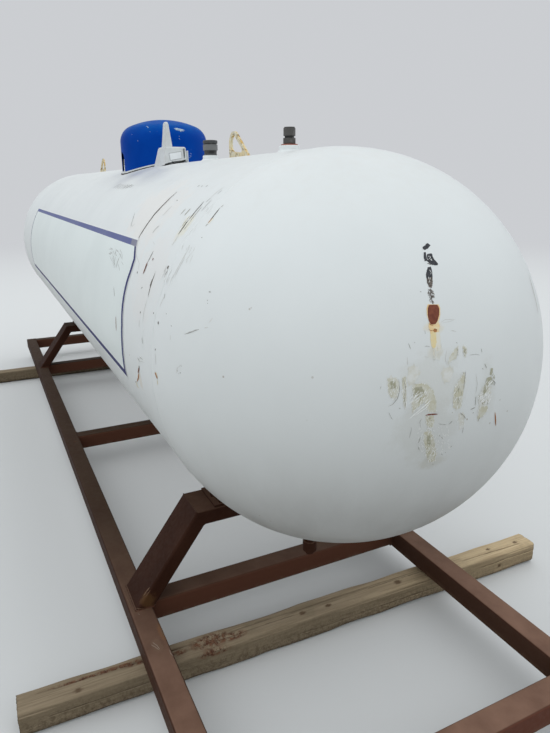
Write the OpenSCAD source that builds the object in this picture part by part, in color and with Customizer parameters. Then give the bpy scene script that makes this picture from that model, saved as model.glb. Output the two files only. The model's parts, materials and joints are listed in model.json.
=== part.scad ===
// Horizontal pressure tank with hemispherical heads on a welded tube skid
// Millimetres. +X points to the front head, +Z up, origin on the ground under the middle of the tank.

/* [Vessel] */
// Outside diameter of the tank
tank_d = 1041; // [940:1:1200]
// Overall length of the tank over both heads
tank_len = 4877; // [4400:1:5400]
// Wall thickness of the cylindrical shell
shell_t = 6.5; // [5:0.5:12]
// Wall thickness of the heads
head_t = 5; // [4:0.5:10]

/* [Skid] */
// Length of the skid rails
skid_len = 4926; // [4700:1:5600]
// Distance between the rails' centre lines
rail_spread = 1063; // [1000:1:1200]
// Width and height of the square tube
tube = 76; // [64:1:90]
// Wall thickness of the square tube
tube_wall = 5; // [3:0.5:8]
// Outside corner radius of all the tubes
corner_r = 8; // [6:0.5:12]
// Thickness of the plates that close the rail ends
cap_t = 5; // [3:0.5:8]
// Height of the tank's axis over the rail tops
axis_rise = 907; // [880:1:960]

/* [Saddles] */
// Distance of each saddle back from the head's seam
saddle_back = 393; // [320:1:600]
// Width of the leg and beam tube along the tank
leg_w = 152; // [110:1:170]
// Thickness of the leg and beam tube
leg_t = 51; // [40:1:60]
// Wall thickness of the leg and beam tube
leg_wall = 5; // [3:0.5:8]
// How far the legs' outer foot stands in from the rail's outer face
foot_setback = 21; // [12:1:24]
// Half length of the beam between its outer knees
knee_y = 325; // [280:1:360]
// Height of the beam's top over the rail tops
beam_top = 304; // [270:1:330]
// Thickness of the bearing plate on the beam
bearing_t = 8; // [5:0.5:12]
// Thickness of the saddle's web and ribs
web_t = 10; // [6:0.5:16]
// Half width of the web across the tank
web_half = 250; // [200:1:280]
// Thickness of the curved wear pad under the tank
pad_t = 8; // [5:0.5:12]
// Width of the wear pad along the tank
pad_w = 150; // [130:1:200]
// Half angle that the wear pad wraps round the tank, in degrees
pad_angle = 31; // [30:0.5:36]

// How far the cross tube under each saddle lies from its middle, towards the skid's end
cross_out = 15; // [0:1:30]

/* [Timbers] */
// Width and height of the timber bearers
timber = 89; // [75:1:140]
// Length of the timber bearers
timber_len = 1971; // [1600:1:2400]
// Distance of each timber from the saddle, towards the skid's end
timber_out = 236; // [120:1:500]
// Sideways offset of each timber
timber_y = 50; // [0:1:80]
// Angle that the timbers lie askew, in degrees
timber_skew = 1.44; // [0:0.01:3]

/* [Dome] */
// Distance of the dome's centre back from the front seam
dome_back = 1570; // [1500:1:1700]
// Outside radius of the dome cover
dome_r = 200; // [180:1:230]
// Height of the dome cover over the tank's crest
dome_h = 200; // [185:1:240]
// Radius of the dome cover's shoulder
shoulder_r = 75; // [50:1:90]
// Radius of the dome cover's crown
crown_r = 400; // [350:1:600]
// Sheet thickness of the dome cover
cover_t = 2.5; // [2:0.5:5]
// Height of the collar's flange over the tank's surface
flange_h = 9; // [6:0.5:14]
// How far the flange stands out past the cover
flange_lip = 3; // [1:0.5:6]
// Gap between the cover's skirt and the flange
seat_gap = 0.5; // [0.3:0.1:1]
// Gap between the cover's skirt and the collar
collar_gap = 6; // [5:0.5:10]
// Wall thickness of the collar
collar_t = 5; // [3:0.5:8]
// Height of the collar over the tank's crest
collar_h = 28; // [20:1:35]
// Half width of the hose slot in the skirt
slot_r = 35; // [20:1:45]
// Height of the hose slot's round top over the crest
slot_top = 57; // [45:1:75]
// Direction of the hose slot round the dome, in degrees
slot_angle = -93; // [-110:1:-70]

/* [Hinge] */
// Radius of the hinge pin
pin_r = 5; // [3:0.5:6]
// Running clearance of the cover's knuckle on the pin
pin_play = 0.05; // [0.02:0.01:0.1]
// Radius of the hinge knuckles
knuckle_r = 9; // [8:0.5:12]
// Distance of the pin behind the cover's skirt
pin_back = 15; // [14:0.5:18]
// Height of the pin over the tank's crest
pin_h = 15; // [14:0.5:18]
// Length of the cover's knuckle
knuckle_len = 40; // [30:1:60]
// Length of each fixed knuckle
fixed_len = 24; // [16:1:34]

/* [Lifting lugs] */
// Distance of the front lug's eye back from the front seam
front_lug_back = 701; // [600:1:760]
// Distance of the rear lug's eye back from the rear seam
rear_lug_back = 768; // [600:1:860]
// Thickness of the lug plates
lug_t = 9; // [7:1:16]
// Outside radius of the lug's top
eye_r = 40; // [37:1:46]
// Height of the eye's centre over the crest
eye_z = 47; // [42:1:56]
// Radius of the eye's hole at its round end
eye_hole_r = 27; // [20:1:30]
// Length that the eye's hole is drawn out along the sloping brace
eye_draw = 66; // [30:1:70]
// Length of the lug's foot beyond its eye
lug_foot = 122; // [110:1:150]

/* [Top fittings] */
// Distance of the relief valve from the dome's centre
relief_gap = 625; // [560:1:680]
// Distance of the front coupling back from the front seam
coupling_back = 285; // [200:1:380]
// Radius of the welded couplings
coupling_r = 30; // [27:0.5:34]
// Height of the welded couplings over the crest
coupling_h = 18; // [12:1:24]
// Radius of the relief valve's rain cap
relief_r = 28; // [22:0.5:30]
// Radius of the front valve
front_valve_r = 17.5; // [14:0.5:20]

/* [Level transmitter] */
// Distance of the transmitter's front face from the dome's centre
sender_gap = 398; // [390:1:440]
// Length of the transmitter's foot along the tank
sender_len = 170; // [140:1:175]
// Distance of the transmitter's outer side from the tank's middle plane
sender_y = 117; // [105:1:130]
// Width of the transmitter
sender_w = 92; // [80:1:100]
// Height of the transmitter's top over the crest
sender_h = 61; // [50:1:75]
// Height of the aerial fin over the transmitter's top
fin_h = 95; // [70:1:110]

/* [Drain] */
// Distance of the drain back from the front seam
drain_back = 139; // [90:1:200]
// How far the drain hangs under the tank
drain_drop = 220; // [160:1:240]
// Radius of the drain pipe
drain_r = 16.7; // [12:0.1:20]
// Radius of the drain cap
drain_cap_r = 23; // [21:0.5:28]

/* [Hidden] */
$fn = 48;
eps = 0.01;
white = "#e6e8e8";
brown = "#4a2a22";
blue = "#0b3f9e";
yellow = "#c9b24a";
dark = "#4a4d50";
brass = "#b5933f";

tank_r = tank_d / 2;
shell_len = tank_len - tank_d;
saddle_x = shell_len / 2 - saddle_back;
timber_x = saddle_x + timber_out;
coupling_x = shell_len / 2 - coupling_back;
drain_x = shell_len / 2 - drain_back;
dome_x = shell_len / 2 - dome_back;
relief_x = dome_x + relief_gap;
sender_x = dome_x + sender_gap;
skirt_gap = flange_h + seat_gap;
rail_top = timber + tube;
axis_h = rail_top + axis_rise;
crest = axis_h + tank_r;
// A length that is safely longer than the tank
far = 3 * tank_len;
rail_y = rail_spread / 2;
foot_y = rail_y + tube / 2 - foot_setback;
leg_angle = atan2(beam_top, foot_y - knee_y);
inner_knee_y = knee_y - leg_t * tan(leg_angle / 2);
beam_z = rail_top + beam_top;
bearing_z = beam_z + bearing_t;
pad_r = tank_r + pad_t;
pin_x = dome_x - dome_r - pin_back;
pin_z = crest + pin_h;
plate_t = 4;
relief_cap_z = 43;
knuckle_play = 1;
weld_bite = 14;
hex_sides = 6;

// Rectangle with round corners, centred
module round_rect(w, h, r) {
    union() {
        square([w - 2 * r, h], center = true);
        square([w, h - 2 * r], center = true);
        for (sx = [-1, 1], sy = [-1, 1])
            translate([sx * (w / 2 - r), sy * (h / 2 - r)]) circle(r);
    }
}

// Section of a hollow rectangular tube
module tube_section(w, h, wall) {
    difference() {
        round_rect(w, h, corner_r);
        round_rect(w - 2 * wall, h - 2 * wall, corner_r - wall);
    }
}

// Extrudes a section in the YZ plane along X
module along_x(len) {
    rotate([90, 0, 90]) linear_extrude(len, center = true) children();
}

// Extrudes a section in the XZ plane along Y
module along_y(len) {
    rotate([90, 0, 0]) linear_extrude(len, center = true) children();
}

// Cylinder on the tank's axis
module tank_cylinder(r, len = far) {
    translate([0, 0, axis_h]) rotate([0, 90, 0]) cylinder(r = r, h = len, center = true, $fn = 360);
}

// Seats its children on the tank's outside surface
module seated() {
    difference() {
        children();
        tank_cylinder(tank_r);
    }
}

// Moves its children to a place on the tank's crest
module on_crest(x, y = 0) {
    translate([x, y, crest]) children();
}

// Body of revolution from a list of steps, each with its radius, its bottom and its top
module stepped(steps) {
    union() for (s = steps) translate([0, 0, s[1]]) cylinder(r = s[0], h = s[2] - s[1]);
}

// Vessel
module tank_shell() color(white) difference() {
    tank_cylinder(tank_r, shell_len);
    tank_cylinder(tank_r - shell_t, shell_len + 2);
}

module head(side) color(white) translate([side * shell_len / 2, 0, axis_h]) rotate([0, side * 90, 0])
    difference() {
        sphere(tank_r, $fn = 96);
        sphere(tank_r - head_t, $fn = 96);
        translate([0, 0, -tank_r]) cube(2 * tank_r, center = true);
    }

// Two circles with the outline that their common tangents close
module drop_shape(a, ra, b, rb) {
    turn = atan2(b.y - a.y, b.x - a.x);
    spread = acos((ra - rb) / norm(b - a));
    union() {
        translate(a) circle(ra);
        translate(b) circle(rb);
        polygon([a + ra * [cos(turn + spread), sin(turn + spread)], b + rb * [cos(turn + spread), sin(turn + spread)],
            b + rb * [cos(turn - spread), sin(turn - spread)], a + ra * [cos(turn - spread), sin(turn - spread)]]);
    }
}

// Lifting lug: a round top with a brace that slopes down to the end of the tank, and an eye drawn out along it
module lug(side, eye_x) color(yellow) seated() mirror([side < 0 ? 1 : 0, 0, 0]) on_crest(eye_x)
    along_y(lug_t) difference() {
        top = [0, eye_z];
        toe = [lug_foot, 6];
        tip_r = 8;
        slope = atan2(toe.y - top.y, toe.x) + acos(eye_r / norm(toe - top));
        across = [cos(slope), sin(slope)];
        tip = top + (eye_hole_r - tip_r) * across + eye_draw * [sin(slope), -cos(slope)];
        union() {
            translate(top) circle(eye_r);
            polygon([[-eye_r, -weld_bite], [lug_foot, -weld_bite], toe, top + eye_r * across, top, [-eye_r, eye_z]]);
        }
        drop_shape(top, eye_hole_r, tip, tip_r);
    }

// Welded half coupling with a rounded rim
module coupling(x) color(white) seated() on_crest(x) rotate_extrude() difference() {
    union() {
        translate([0, -weld_bite]) square([coupling_r, weld_bite + coupling_h - 3]);
        translate([0, coupling_h - 6]) square([coupling_r - 3, 6]);
        translate([coupling_r - 3, coupling_h - 3]) circle(3);
        polygon([[coupling_r - 1, -weld_bite], [coupling_r + 7, -weld_bite], [coupling_r + 7, -1],
            [coupling_r - 1, 7]]);
    }
    translate([-1, -2 * weld_bite]) square([coupling_r, weld_bite]);
}

// Relief valve's body, and the cap that keeps rain out of it
module relief_valve() color(dark) on_crest(relief_x, 0) translate([0, 0, coupling_h]) rotate_extrude() union() {
    polygon([[0, 0], [relief_r - 3, 0], [relief_r - 3, 3], [relief_r - 5, 7], [0, 7]]);
    translate([0, 7 - eps]) square([relief_r - 4, 11 + 2 * eps]);
    polygon([[0, 18], [relief_r - 1, 18], [relief_r, 20], [relief_r, 38], [relief_r - 2, 40], [0, 40]]);
    translate([0, 40 - eps]) square([relief_r - 3.5, relief_cap_z - 40 + eps]);
}

module relief_cap() color(dark) on_crest(relief_x, 0) translate([0, 0, coupling_h + relief_cap_z])
    rotate_extrude() polygon([[0, 0], [relief_r - 1, 0], [relief_r, 2], [relief_r, 9],
        [relief_r - 2, 11.5], [relief_r - 7, 12.5], [0, 13]]);

module front_valve() color(dark) on_crest(coupling_x) translate([0, 0, coupling_h]) union() {
    cylinder(r = front_valve_r - 4, h = 5);
    translate([0, 0, 5 - eps]) rotate(30)
        cylinder(r = front_valve_r / cos(30), h = 15, $fn = hex_sides);
    translate([0, 0, 20 - 2 * eps]) cylinder(r = front_valve_r - 3.5, h = 6);
    translate([0, 0, 26 - 3 * eps]) cylinder(r = front_valve_r, h = 21);
    translate([0, 0, 47 - 4 * eps]) cylinder(r = front_valve_r - 2, h = 3);
}

// Outline of the dome cover, drawn inset by the given amount
module dome_outline(inset) {
    shoulder_x = dome_r - shoulder_r;
    lift = sqrt(pow(crown_r - shoulder_r, 2) - pow(shoulder_x, 2));
    shoulder_z = dome_h - crown_r + lift;
    reach = 1.2 * shoulder_r / (crown_r - shoulder_r);
    skirt_z = tank_r;
    union() {
        translate([0, -skirt_z]) square([dome_r - inset, skirt_z + shoulder_z]);
        translate([shoulder_x, shoulder_z]) circle(shoulder_r - inset);
        intersection() {
            translate([0, dome_h - crown_r]) circle(crown_r - inset);
            polygon([[0, shoulder_z - eps], [shoulder_x, shoulder_z - eps],
                [shoulder_x * (1 + reach), shoulder_z + lift * reach], [0, dome_h + shoulder_r / 4]]);
        }
    }
}

// Hinged cover of the dome, with a slot for a hose in its skirt
module dome_cover() color(blue) difference() {
    on_crest(dome_x) rotate_extrude($fn = 96) intersection() {
        difference() {
            dome_outline(0);
            dome_outline(cover_t);
        }
        translate([0, -dome_r]) square([dome_r + 1, dome_r + dome_h + 1]);
    }
    tank_cylinder(tank_r + skirt_gap);
    on_crest(dome_x) rotate(slot_angle) translate([dome_r - 2 * collar_gap, 0, slot_top - slot_r])
        rotate([0, 90, 0]) union() {
            cylinder(r = slot_r, h = 4 * collar_gap);
            translate([0, -slot_r, 0]) cube([tank_r / 2, 2 * slot_r, 4 * collar_gap]);
        }
}

// Collar that the cover sits on: a wall round the valves, on a flange that follows the tank
module dome_collar() color(white) seated() difference() {
    collar_r = dome_r - cover_t - collar_gap;
    union() {
        on_crest(dome_x) translate([0, 0, -dome_r / 2])
            cylinder(r = collar_r, h = dome_r / 2 + collar_h, $fn = 96);
        intersection() {
            on_crest(dome_x) translate([0, 0, -dome_r]) difference() {
                cylinder(r = dome_r + flange_lip, h = 2 * dome_r, $fn = 96);
                cylinder(r = collar_r - collar_t / 2, h = 2 * dome_r, $fn = 96);
            }
            tank_cylinder(tank_r + flange_h);
        }
    }
    on_crest(dome_x) translate([0, 0, -dome_r]) cylinder(r = collar_r - collar_t, h = 2 * dome_r, $fn = 96);
    on_crest(dome_x) rotate(slot_angle) translate([collar_r - 2 * collar_t, -slot_r, 0])
        cube([6 * collar_t, 2 * slot_r, 2 * collar_h]);
}

// Fixed half of the hinge: a leaf on the tank, two knuckles and the pin
module dome_hinge() color(white) seated() union() {
    knuckle_y = knuckle_len / 2 + knuckle_play;
    leaf_half = knuckle_y + fixed_len;
    intersection() {
        tank_cylinder(tank_r + plate_t);
        translate([pin_x, 0, crest - weld_bite]) linear_extrude(2 * weld_bite) difference() {
            translate([-50, -leaf_half]) square([50, 2 * leaf_half]);
            translate([-2 * knuckle_r, -knuckle_y]) square([3 * knuckle_r, 2 * knuckle_y]);
        }
    }
    for (side = [-1, 1]) translate([pin_x, side * (knuckle_y + fixed_len / 2), pin_z]) {
        rotate([90, 0, 0]) cylinder(r = knuckle_r, h = fixed_len, center = true);
        translate([-knuckle_r, -fixed_len / 2, -pin_h - weld_bite / 2])
            cube([knuckle_r, fixed_len, pin_h + weld_bite / 2]);
    }
    translate([pin_x, 0, pin_z]) rotate([90, 0, 0]) cylinder(r = pin_r, h = 2 * leaf_half + 4, center = true);
}

// Moving half of the hinge, on the back of the cover's skirt
module cover_leaf() color(blue) difference() {
    union() {
        translate([pin_x, 0, pin_z]) rotate([90, 0, 0])
            cylinder(r = knuckle_r, h = knuckle_len, center = true);
        translate([pin_x, -knuckle_len / 2, pin_z]) cube([pin_back + knuckle_r, knuckle_len, knuckle_r]);
        translate([dome_x - dome_r - plate_t, -knuckle_len / 2, pin_z])
            cube([plate_t + knuckle_r, knuckle_len, 5 * knuckle_r]);
    }
    translate([pin_x, 0, pin_z]) rotate([90, 0, 0])
        cylinder(r = pin_r + pin_play, h = knuckle_len + 2, center = true);
    on_crest(dome_x) translate([0, 0, -dome_r]) cylinder(r = dome_r, h = 2 * dome_r, $fn = 96);
}

// Eye for a padlock, standing on the tank in front of the dome
module lock_eye() color(white) seated() on_crest(dome_x + dome_r) translate([0, -plate_t, 0]) along_y(plate_t)
    difference() {
        union() {
            translate([9, -weld_bite]) square([24, weld_bite + 22]);
            translate([21, 22]) circle(12);
        }
        translate([21, 22]) circle(5);
    }

// Tab for the same padlock, on the front of the cover's skirt
module lock_tab() color(blue) difference() {
    on_crest(dome_x + dome_r) translate([0, 2 * plate_t, 0]) along_y(plate_t) difference() {
        union() {
            translate([-10, 14]) square([31, 16]);
            translate([21, 22]) circle(8);
        }
        translate([21, 22]) circle(5);
    }
    on_crest(dome_x) translate([0, 0, -dome_r]) cylinder(r = dome_r, h = 2 * dome_r, $fn = 96);
}

// Valves under the dome
module fill_valve() color(brass) seated() on_crest(dome_x + 70, -50) union() {
    stepped([[24, -weld_bite, 12], [18, 12 - eps, 58], [22, 40, 46], [26, 58 - eps, 92], [22, 92 - eps, 98]]);
    translate([0, 0, 12 - 2 * eps]) cylinder(r = 26, h = 20, $fn = hex_sides);
}

module vapor_valve() color(brass) seated() on_crest(dome_x + 70, 58) union() {
    stepped([[20, -weld_bite, 10], [14, 10 - eps, 48], [20, 48 - eps, 74], [16, 74 - eps, 79]]);
    translate([0, 0, 10 - 2 * eps]) cylinder(r = 22, h = 16, $fn = hex_sides);
}

module service_valve() color(brass) seated() on_crest(dome_x - 60, -52) union() {
    stepped([[20, -weld_bite, 8], [17, 8 - eps, 50], [11, 50 - eps, 72], [4, 72 - eps, 88]]);
    translate([0, 0, 8 - 2 * eps]) cylinder(r = 23, h = 16, $fn = hex_sides);
    translate([0, 0, 36]) rotate([0, 90, 180]) cylinder(r = 11, h = 44);
    translate([-38, 0, 36]) rotate([0, 90, 180]) cylinder(r = 15, h = 14, $fn = hex_sides);
    translate([0, 0, 78]) difference() {
        cylinder(r = 26, h = 8);
        for (turn = [0 : 60 : 300]) rotate(turn) translate([28, 0, -1]) cylinder(r = 6, h = 10);
    }
}

module float_gauge() color(brass) seated() on_crest(dome_x - 45, 62) union() {
    stepped([[42, -weld_bite, 6], [36, 6 - eps, 14], [30, 14 - eps, 24], [27, 24 - eps, 30]]);
    for (turn = [45 : 90 : 315]) rotate(turn) translate([30, 0, 14 - 2 * eps])
        cylinder(r = 5, h = 6, $fn = hex_sides);
}

// Level transmitter, magnet mounted beside the dome
sender_top = crest + sender_h;
// The underside rises from the toe at the outer edge to the side next to the tank's middle
toe_y = -sender_y + sender_w * 0.08;
toe_z = crest - 10.3;
inner_y = -sender_y + sender_w;
under_slope = 0.27;
foot_inset = 6;
foot_y_in = inner_y - foot_inset;
function under_z(y) = toe_z + under_slope * (y - toe_y);
module sender_side_section() polygon([[-sender_y, crest - 2 * weld_bite],
    [-sender_y + sender_w * 0.05, crest - 2 * weld_bite], [toe_y, toe_z], [inner_y, under_z(inner_y)],
    [inner_y, sender_top - 5], [inner_y - 5, sender_top], [-sender_y + 8, sender_top],
    [-sender_y + 4, sender_top - 4]]);

module transmitter_box() color(white) seated() union() {
    difference() {
        intersection() {
            translate([sender_x - sender_len / 2, 0, 0]) along_x(sender_len) sender_side_section();
            translate([0, -sender_y, 0]) along_y(4 * sender_w)
                polygon([[sender_x, crest - 30], [sender_x, sender_top - 4], [sender_x - 4, sender_top],
                    [sender_x - sender_len * 0.56, sender_top], [sender_x - sender_len * 0.60, sender_top - 6],
                    [sender_x - sender_len, crest - 14], [sender_x - sender_len, crest - 30]]);
        }
        translate([sender_x - 3, inner_y - 13, crest + 15]) cube([10, 7, 38]);
    }
    translate([sender_x - 34, inner_y - eps, crest + 3]) cube([26, 8, 42]);
    translate([sender_x - 40, inner_y + 8 - 2 * eps, crest + 1]) cube([38, 3, 46]);
}

module transmitter_foot() color(dark) seated() intersection() {
    translate([sender_x - sender_len / 2, 0, 0]) along_x(sender_len - 14)
        polygon([[toe_y, toe_z], [foot_y_in, under_z(foot_y_in)], [foot_y_in, crest - 30], [toe_y, crest - 30]]);
    translate([sender_x - sender_len, -sender_y, crest - 30]) cube([sender_len, sender_w, 60]);
}

module transmitter_fin() color(white) intersection() {
    translate([0, -sender_y, 0]) along_y(4 * sender_w)
        polygon([[sender_x - 4, sender_top], [sender_x - 2, sender_top + fin_h - 8],
            [sender_x - 8, sender_top + fin_h], [sender_x - 30, sender_top + fin_h],
            [sender_x - 36, sender_top + fin_h - 8], [sender_x - 60, sender_top]]);
    translate([sender_x, 0, 0]) along_x(sender_len)
        polygon([[-sender_y + 8, sender_top], [-sender_y + 12, sender_top + fin_h - 5],
            [-sender_y + 15, sender_top + fin_h], [-sender_y + 21, sender_top + fin_h],
            [-sender_y + 24, sender_top + fin_h - 5], [-sender_y + 37, sender_top]]);
}

// Drain under the tank
module drain_pipe() color(brown) seated() translate([drain_x, 0, axis_h - tank_r - drain_drop + 8]) union() {
    cylinder(r = drain_r, h = drain_drop + weld_bite);
    translate([0, 0, drain_drop - 48]) cylinder(r = drain_cap_r + 6, h = 40 + weld_bite);
}

module drain_cap() color(brown) translate([drain_x, 0, axis_h - tank_r - drain_drop]) difference() {
    rotate_extrude() union() {
        translate([0, 12]) square([drain_cap_r, 34]);
        intersection() {
            translate([0, drain_cap_r]) circle(drain_cap_r + 0.01);
            square([drain_cap_r, 12 + eps]);
        }
        square([drain_cap_r * 0.6, 12 + eps]);
    }
    translate([0, 0, 8]) cylinder(r = drain_r, h = 60);
}

// Saddles
module mitre_region() {
    top = 60;
    out = top * tan(leg_angle / 2);
    down = beam_top * tan(leg_angle / 2);
    polygon([[-rail_spread, rail_top], [-knee_y + down, rail_top],
        [-knee_y - out, beam_z + top], [-rail_spread, beam_z + top]]);
}

module saddle_leg(end, side) color(brown)
    mirror([end < 0 ? 1 : 0, 0, 0]) mirror([0, side > 0 ? 1 : 0, 0]) intersection() {
        translate([saddle_x, -foot_y, rail_top]) rotate([leg_angle - 90, 0, 0]) translate([0, leg_t / 2, -leg_t])
            linear_extrude(2 * beam_top) tube_section(leg_w, leg_t, leg_wall);
        translate([saddle_x, 0, 0]) along_x(2 * leg_w) mitre_region();
    }

module saddle_beam(end) color(brown) mirror([end < 0 ? 1 : 0, 0, 0]) intersection() {
    translate([saddle_x, 0, beam_z - leg_t / 2]) along_y(2 * rail_spread)
        tube_section(leg_w, leg_t, leg_wall);
    translate([saddle_x, 0, 0]) along_x(2 * leg_w) {
        out = 10 * tan(leg_angle / 2);
        polygon([[-knee_y - out, beam_z + 10], [knee_y + out, beam_z + 10],
            [inner_knee_y - out, beam_z - leg_t - 10], [-inner_knee_y + out, beam_z - leg_t - 10]]);
    }
}

// Bearing plate on the beam, with the web and ribs that carry the wear pad
module saddle_web(end) color(brown) mirror([end < 0 ? 1 : 0, 0, 0]) difference() {
    translate([saddle_x, 0, beam_z]) union() {
        translate([-leg_w / 2 + corner_r, -web_half - web_t, 0])
            cube([leg_w - 2 * corner_r, 2 * (web_half + web_t), bearing_t]);
        translate([-web_t / 2, -web_half, 0]) cube([web_t, 2 * web_half, axis_rise - beam_top]);
        for (y = [-web_half + web_t, -web_t / 2, web_half - 2 * web_t])
            translate([-leg_w / 2 + corner_r + web_t, y, 0])
                cube([leg_w - 2 * (corner_r + web_t), web_t, axis_rise - beam_top]);
    }
    tank_cylinder(pad_r);
}

module saddle_pad(end) color(white) intersection() {
    difference() {
        tank_cylinder(pad_r);
        tank_cylinder(tank_r);
    }
    translate([end * saddle_x, 0, axis_h]) along_x(pad_w)
        polygon([[0, 0], [-2 * tank_r * tan(pad_angle), -2 * tank_r], [2 * tank_r * tan(pad_angle), -2 * tank_r]]);
}

// Skid
module rail(side) color(brown) translate([0, side * rail_y, timber + tube / 2])
    along_x(skid_len - 2 * cap_t) tube_section(tube, tube, tube_wall);

module rail_caps() color(brown) for (end = [-1, 1], side = [-1, 1])
    translate([end * (skid_len - cap_t) / 2, side * rail_y, timber + tube / 2])
        along_x(cap_t) round_rect(tube, tube, corner_r);

module cross(x) color(brown) translate([x, 0, timber + tube / 2])
    along_y(rail_spread - tube) tube_section(tube, tube, tube_wall);

module timber_bearer(end) color("tan") translate([end * timber_x, end * timber_y, timber / 2])
    rotate([0, 0, -timber_skew]) along_y(timber_len) round_rect(timber, timber, corner_r / 2);

tank_shell();
head(1);  // front_head
head(-1);  // rear_head
lug(1, shell_len / 2 - front_lug_back);  // front_lug
lug(-1, shell_len / 2 - rear_lug_back);  // rear_lug
coupling(coupling_x);  // front_coupling
front_valve();
coupling(relief_x);  // relief_coupling
relief_valve();
relief_cap();
dome_collar();
dome_hinge();
lock_eye();
dome_cover();
cover_leaf();
lock_tab();
fill_valve();
service_valve();
vapor_valve();
float_gauge();
transmitter_foot();
transmitter_box();
transmitter_fin();
drain_pipe();
drain_cap();
saddle_leg(1, -1);  // front_left_leg
saddle_leg(1, 1);  // front_right_leg
saddle_beam(1);  // front_beam
saddle_web(1);  // front_web
saddle_pad(1);  // front_pad
saddle_leg(-1, -1);  // rear_left_leg
saddle_leg(-1, 1);  // rear_right_leg
saddle_beam(-1);  // rear_beam
saddle_web(-1);  // rear_web
saddle_pad(-1);  // rear_pad
rail(-1);  // left_rail
rail(1);  // right_rail
rail_caps();
cross((skid_len - tube) / 2);  // front_end_cross
cross(saddle_x + cross_out);  // front_saddle_cross
cross(0);  // middle_cross
cross(-saddle_x - cross_out);  // rear_saddle_cross
cross(-(skid_len - tube) / 2);  // rear_end_cross
timber_bearer(1);  // front_timber
timber_bearer(-1);  // rear_timber
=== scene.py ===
"""Looks of a horizontal pressure tank on a welded tube skid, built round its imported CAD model."""

import json
import math
import random

import bmesh
import bpy
import numpy as np
from mathutils import Matrix, Vector, noise
from mathutils.bvhtree import BVHTree


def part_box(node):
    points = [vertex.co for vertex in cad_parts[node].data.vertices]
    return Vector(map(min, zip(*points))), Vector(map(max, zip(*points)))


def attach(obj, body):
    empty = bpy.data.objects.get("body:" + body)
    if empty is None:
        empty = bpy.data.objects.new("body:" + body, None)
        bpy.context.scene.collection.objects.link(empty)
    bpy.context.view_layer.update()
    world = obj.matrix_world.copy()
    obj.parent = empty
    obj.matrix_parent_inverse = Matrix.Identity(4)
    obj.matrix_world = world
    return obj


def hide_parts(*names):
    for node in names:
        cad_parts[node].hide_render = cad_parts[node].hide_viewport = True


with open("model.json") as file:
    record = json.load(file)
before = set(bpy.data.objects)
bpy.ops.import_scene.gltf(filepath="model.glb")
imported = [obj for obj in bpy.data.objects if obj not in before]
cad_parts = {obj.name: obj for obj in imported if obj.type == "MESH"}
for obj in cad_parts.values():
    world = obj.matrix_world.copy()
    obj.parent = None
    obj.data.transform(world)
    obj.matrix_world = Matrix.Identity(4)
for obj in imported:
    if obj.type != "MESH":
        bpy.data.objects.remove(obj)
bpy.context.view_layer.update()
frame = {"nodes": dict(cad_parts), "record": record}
NODES = frame["nodes"]
TANK = "tank_on_skid"
LID = "dome_lid"
scene = bpy.context.scene
scene.view_settings.view_transform = "Standard"

# One seed for the random draws and the noise, so that each run gives the same result
SEED = 7
rng = random.Random(SEED)
noise.seed_set(SEED)

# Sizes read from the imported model, in metres
low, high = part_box("tank_shell")
AXIS_Z = (low.z + high.z) / 2
TANK_R = (high.z - low.z) / 2
SEAM_X = high.x
CREST = high.z
rail_low, rail_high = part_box("right_rail")
RAIL_TOP = rail_high.z
RAIL_BOTTOM = rail_low.z
TUBE = rail_high.z - rail_low.z
RAIL_Y = (rail_low.y + rail_high.y) / 2
SKID_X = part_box("rail_caps")[1].x

# Camera at the photograph's place, angle and field of view
PHOTO_W, PHOTO_H = 550, 733
FOCAL_PX = 596.1
EYE = Vector((3.2735, -0.8527, 1.5028))
YAW, PITCH, ROLL = (math.radians(a) for a in (26.02, 17.0, 0.41))
ahead = Vector((-math.cos(YAW) * math.cos(PITCH), math.sin(YAW) * math.cos(PITCH), -math.sin(PITCH)))
level = Vector((math.sin(YAW), math.cos(YAW), 0))
right = level * math.cos(ROLL) + ahead.cross(level) * math.sin(ROLL)
down = ahead.cross(right)
camera = bpy.data.objects.new("camera", bpy.data.cameras.new("camera"))
scene.collection.objects.link(camera)
turn = Matrix((right, -down, -ahead)).transposed().to_4x4()
camera.matrix_world = Matrix.Translation(EYE) @ turn
camera.data.sensor_width = 36
camera.data.lens = FOCAL_PX * 36 / PHOTO_H
camera.data.clip_end = 100
scene.camera = camera


def ray_through(px, py):
    """Direction from the camera through a pixel of the photograph."""
    across = (px - PHOTO_W / 2) / FOCAL_PX
    under = (py - PHOTO_H / 2) / FOCAL_PX
    return (ahead + right * across + down * under).normalized()


# Small language for shader nodes
class Nodes:
    """Adds nodes to a tree: an input that is given a socket is linked to it, any other value is set."""

    def __init__(self, tree):
        self.tree = tree

    def put(self, socket, value):
        if isinstance(value, bpy.types.NodeSocket):
            self.tree.links.new(value, socket)
        elif isinstance(value, tuple) and len(value) == 3 and len(socket.default_value) == 4:
            socket.default_value = (*value, 1)
        else:
            socket.default_value = value

    def node(self, kind, inputs=None, **props):
        made = self.tree.nodes.new("ShaderNode" + kind)
        for key, value in props.items():
            setattr(made, key, value)
        for key, value in (inputs or {}).items():
            self.put(made.inputs[key], value)
        return made

    def math(self, op, *values):
        return self.node("Math", dict(enumerate(values)), operation=op).outputs[0]

    def both(self, a, b):
        return self.math("MULTIPLY", a, b)

    def step(self, value, start, end, low=0.0, high=1.0):
        inputs = {"Value": value, "From Min": start, "From Max": end, "To Min": low, "To Max": high}
        return self.node("MapRange", inputs, interpolation_type="SMOOTHSTEP").outputs[0]

    def seen(self):
        """Mask of the rays that show a surface, as against those that light others from it."""
        rays = self.node("LightPath").outputs
        bent = self.math("MAXIMUM", rays["Is Glossy Ray"], rays["Is Transmission Ray"])
        return self.math("MAXIMUM", rays["Is Camera Ray"], bent)


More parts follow.
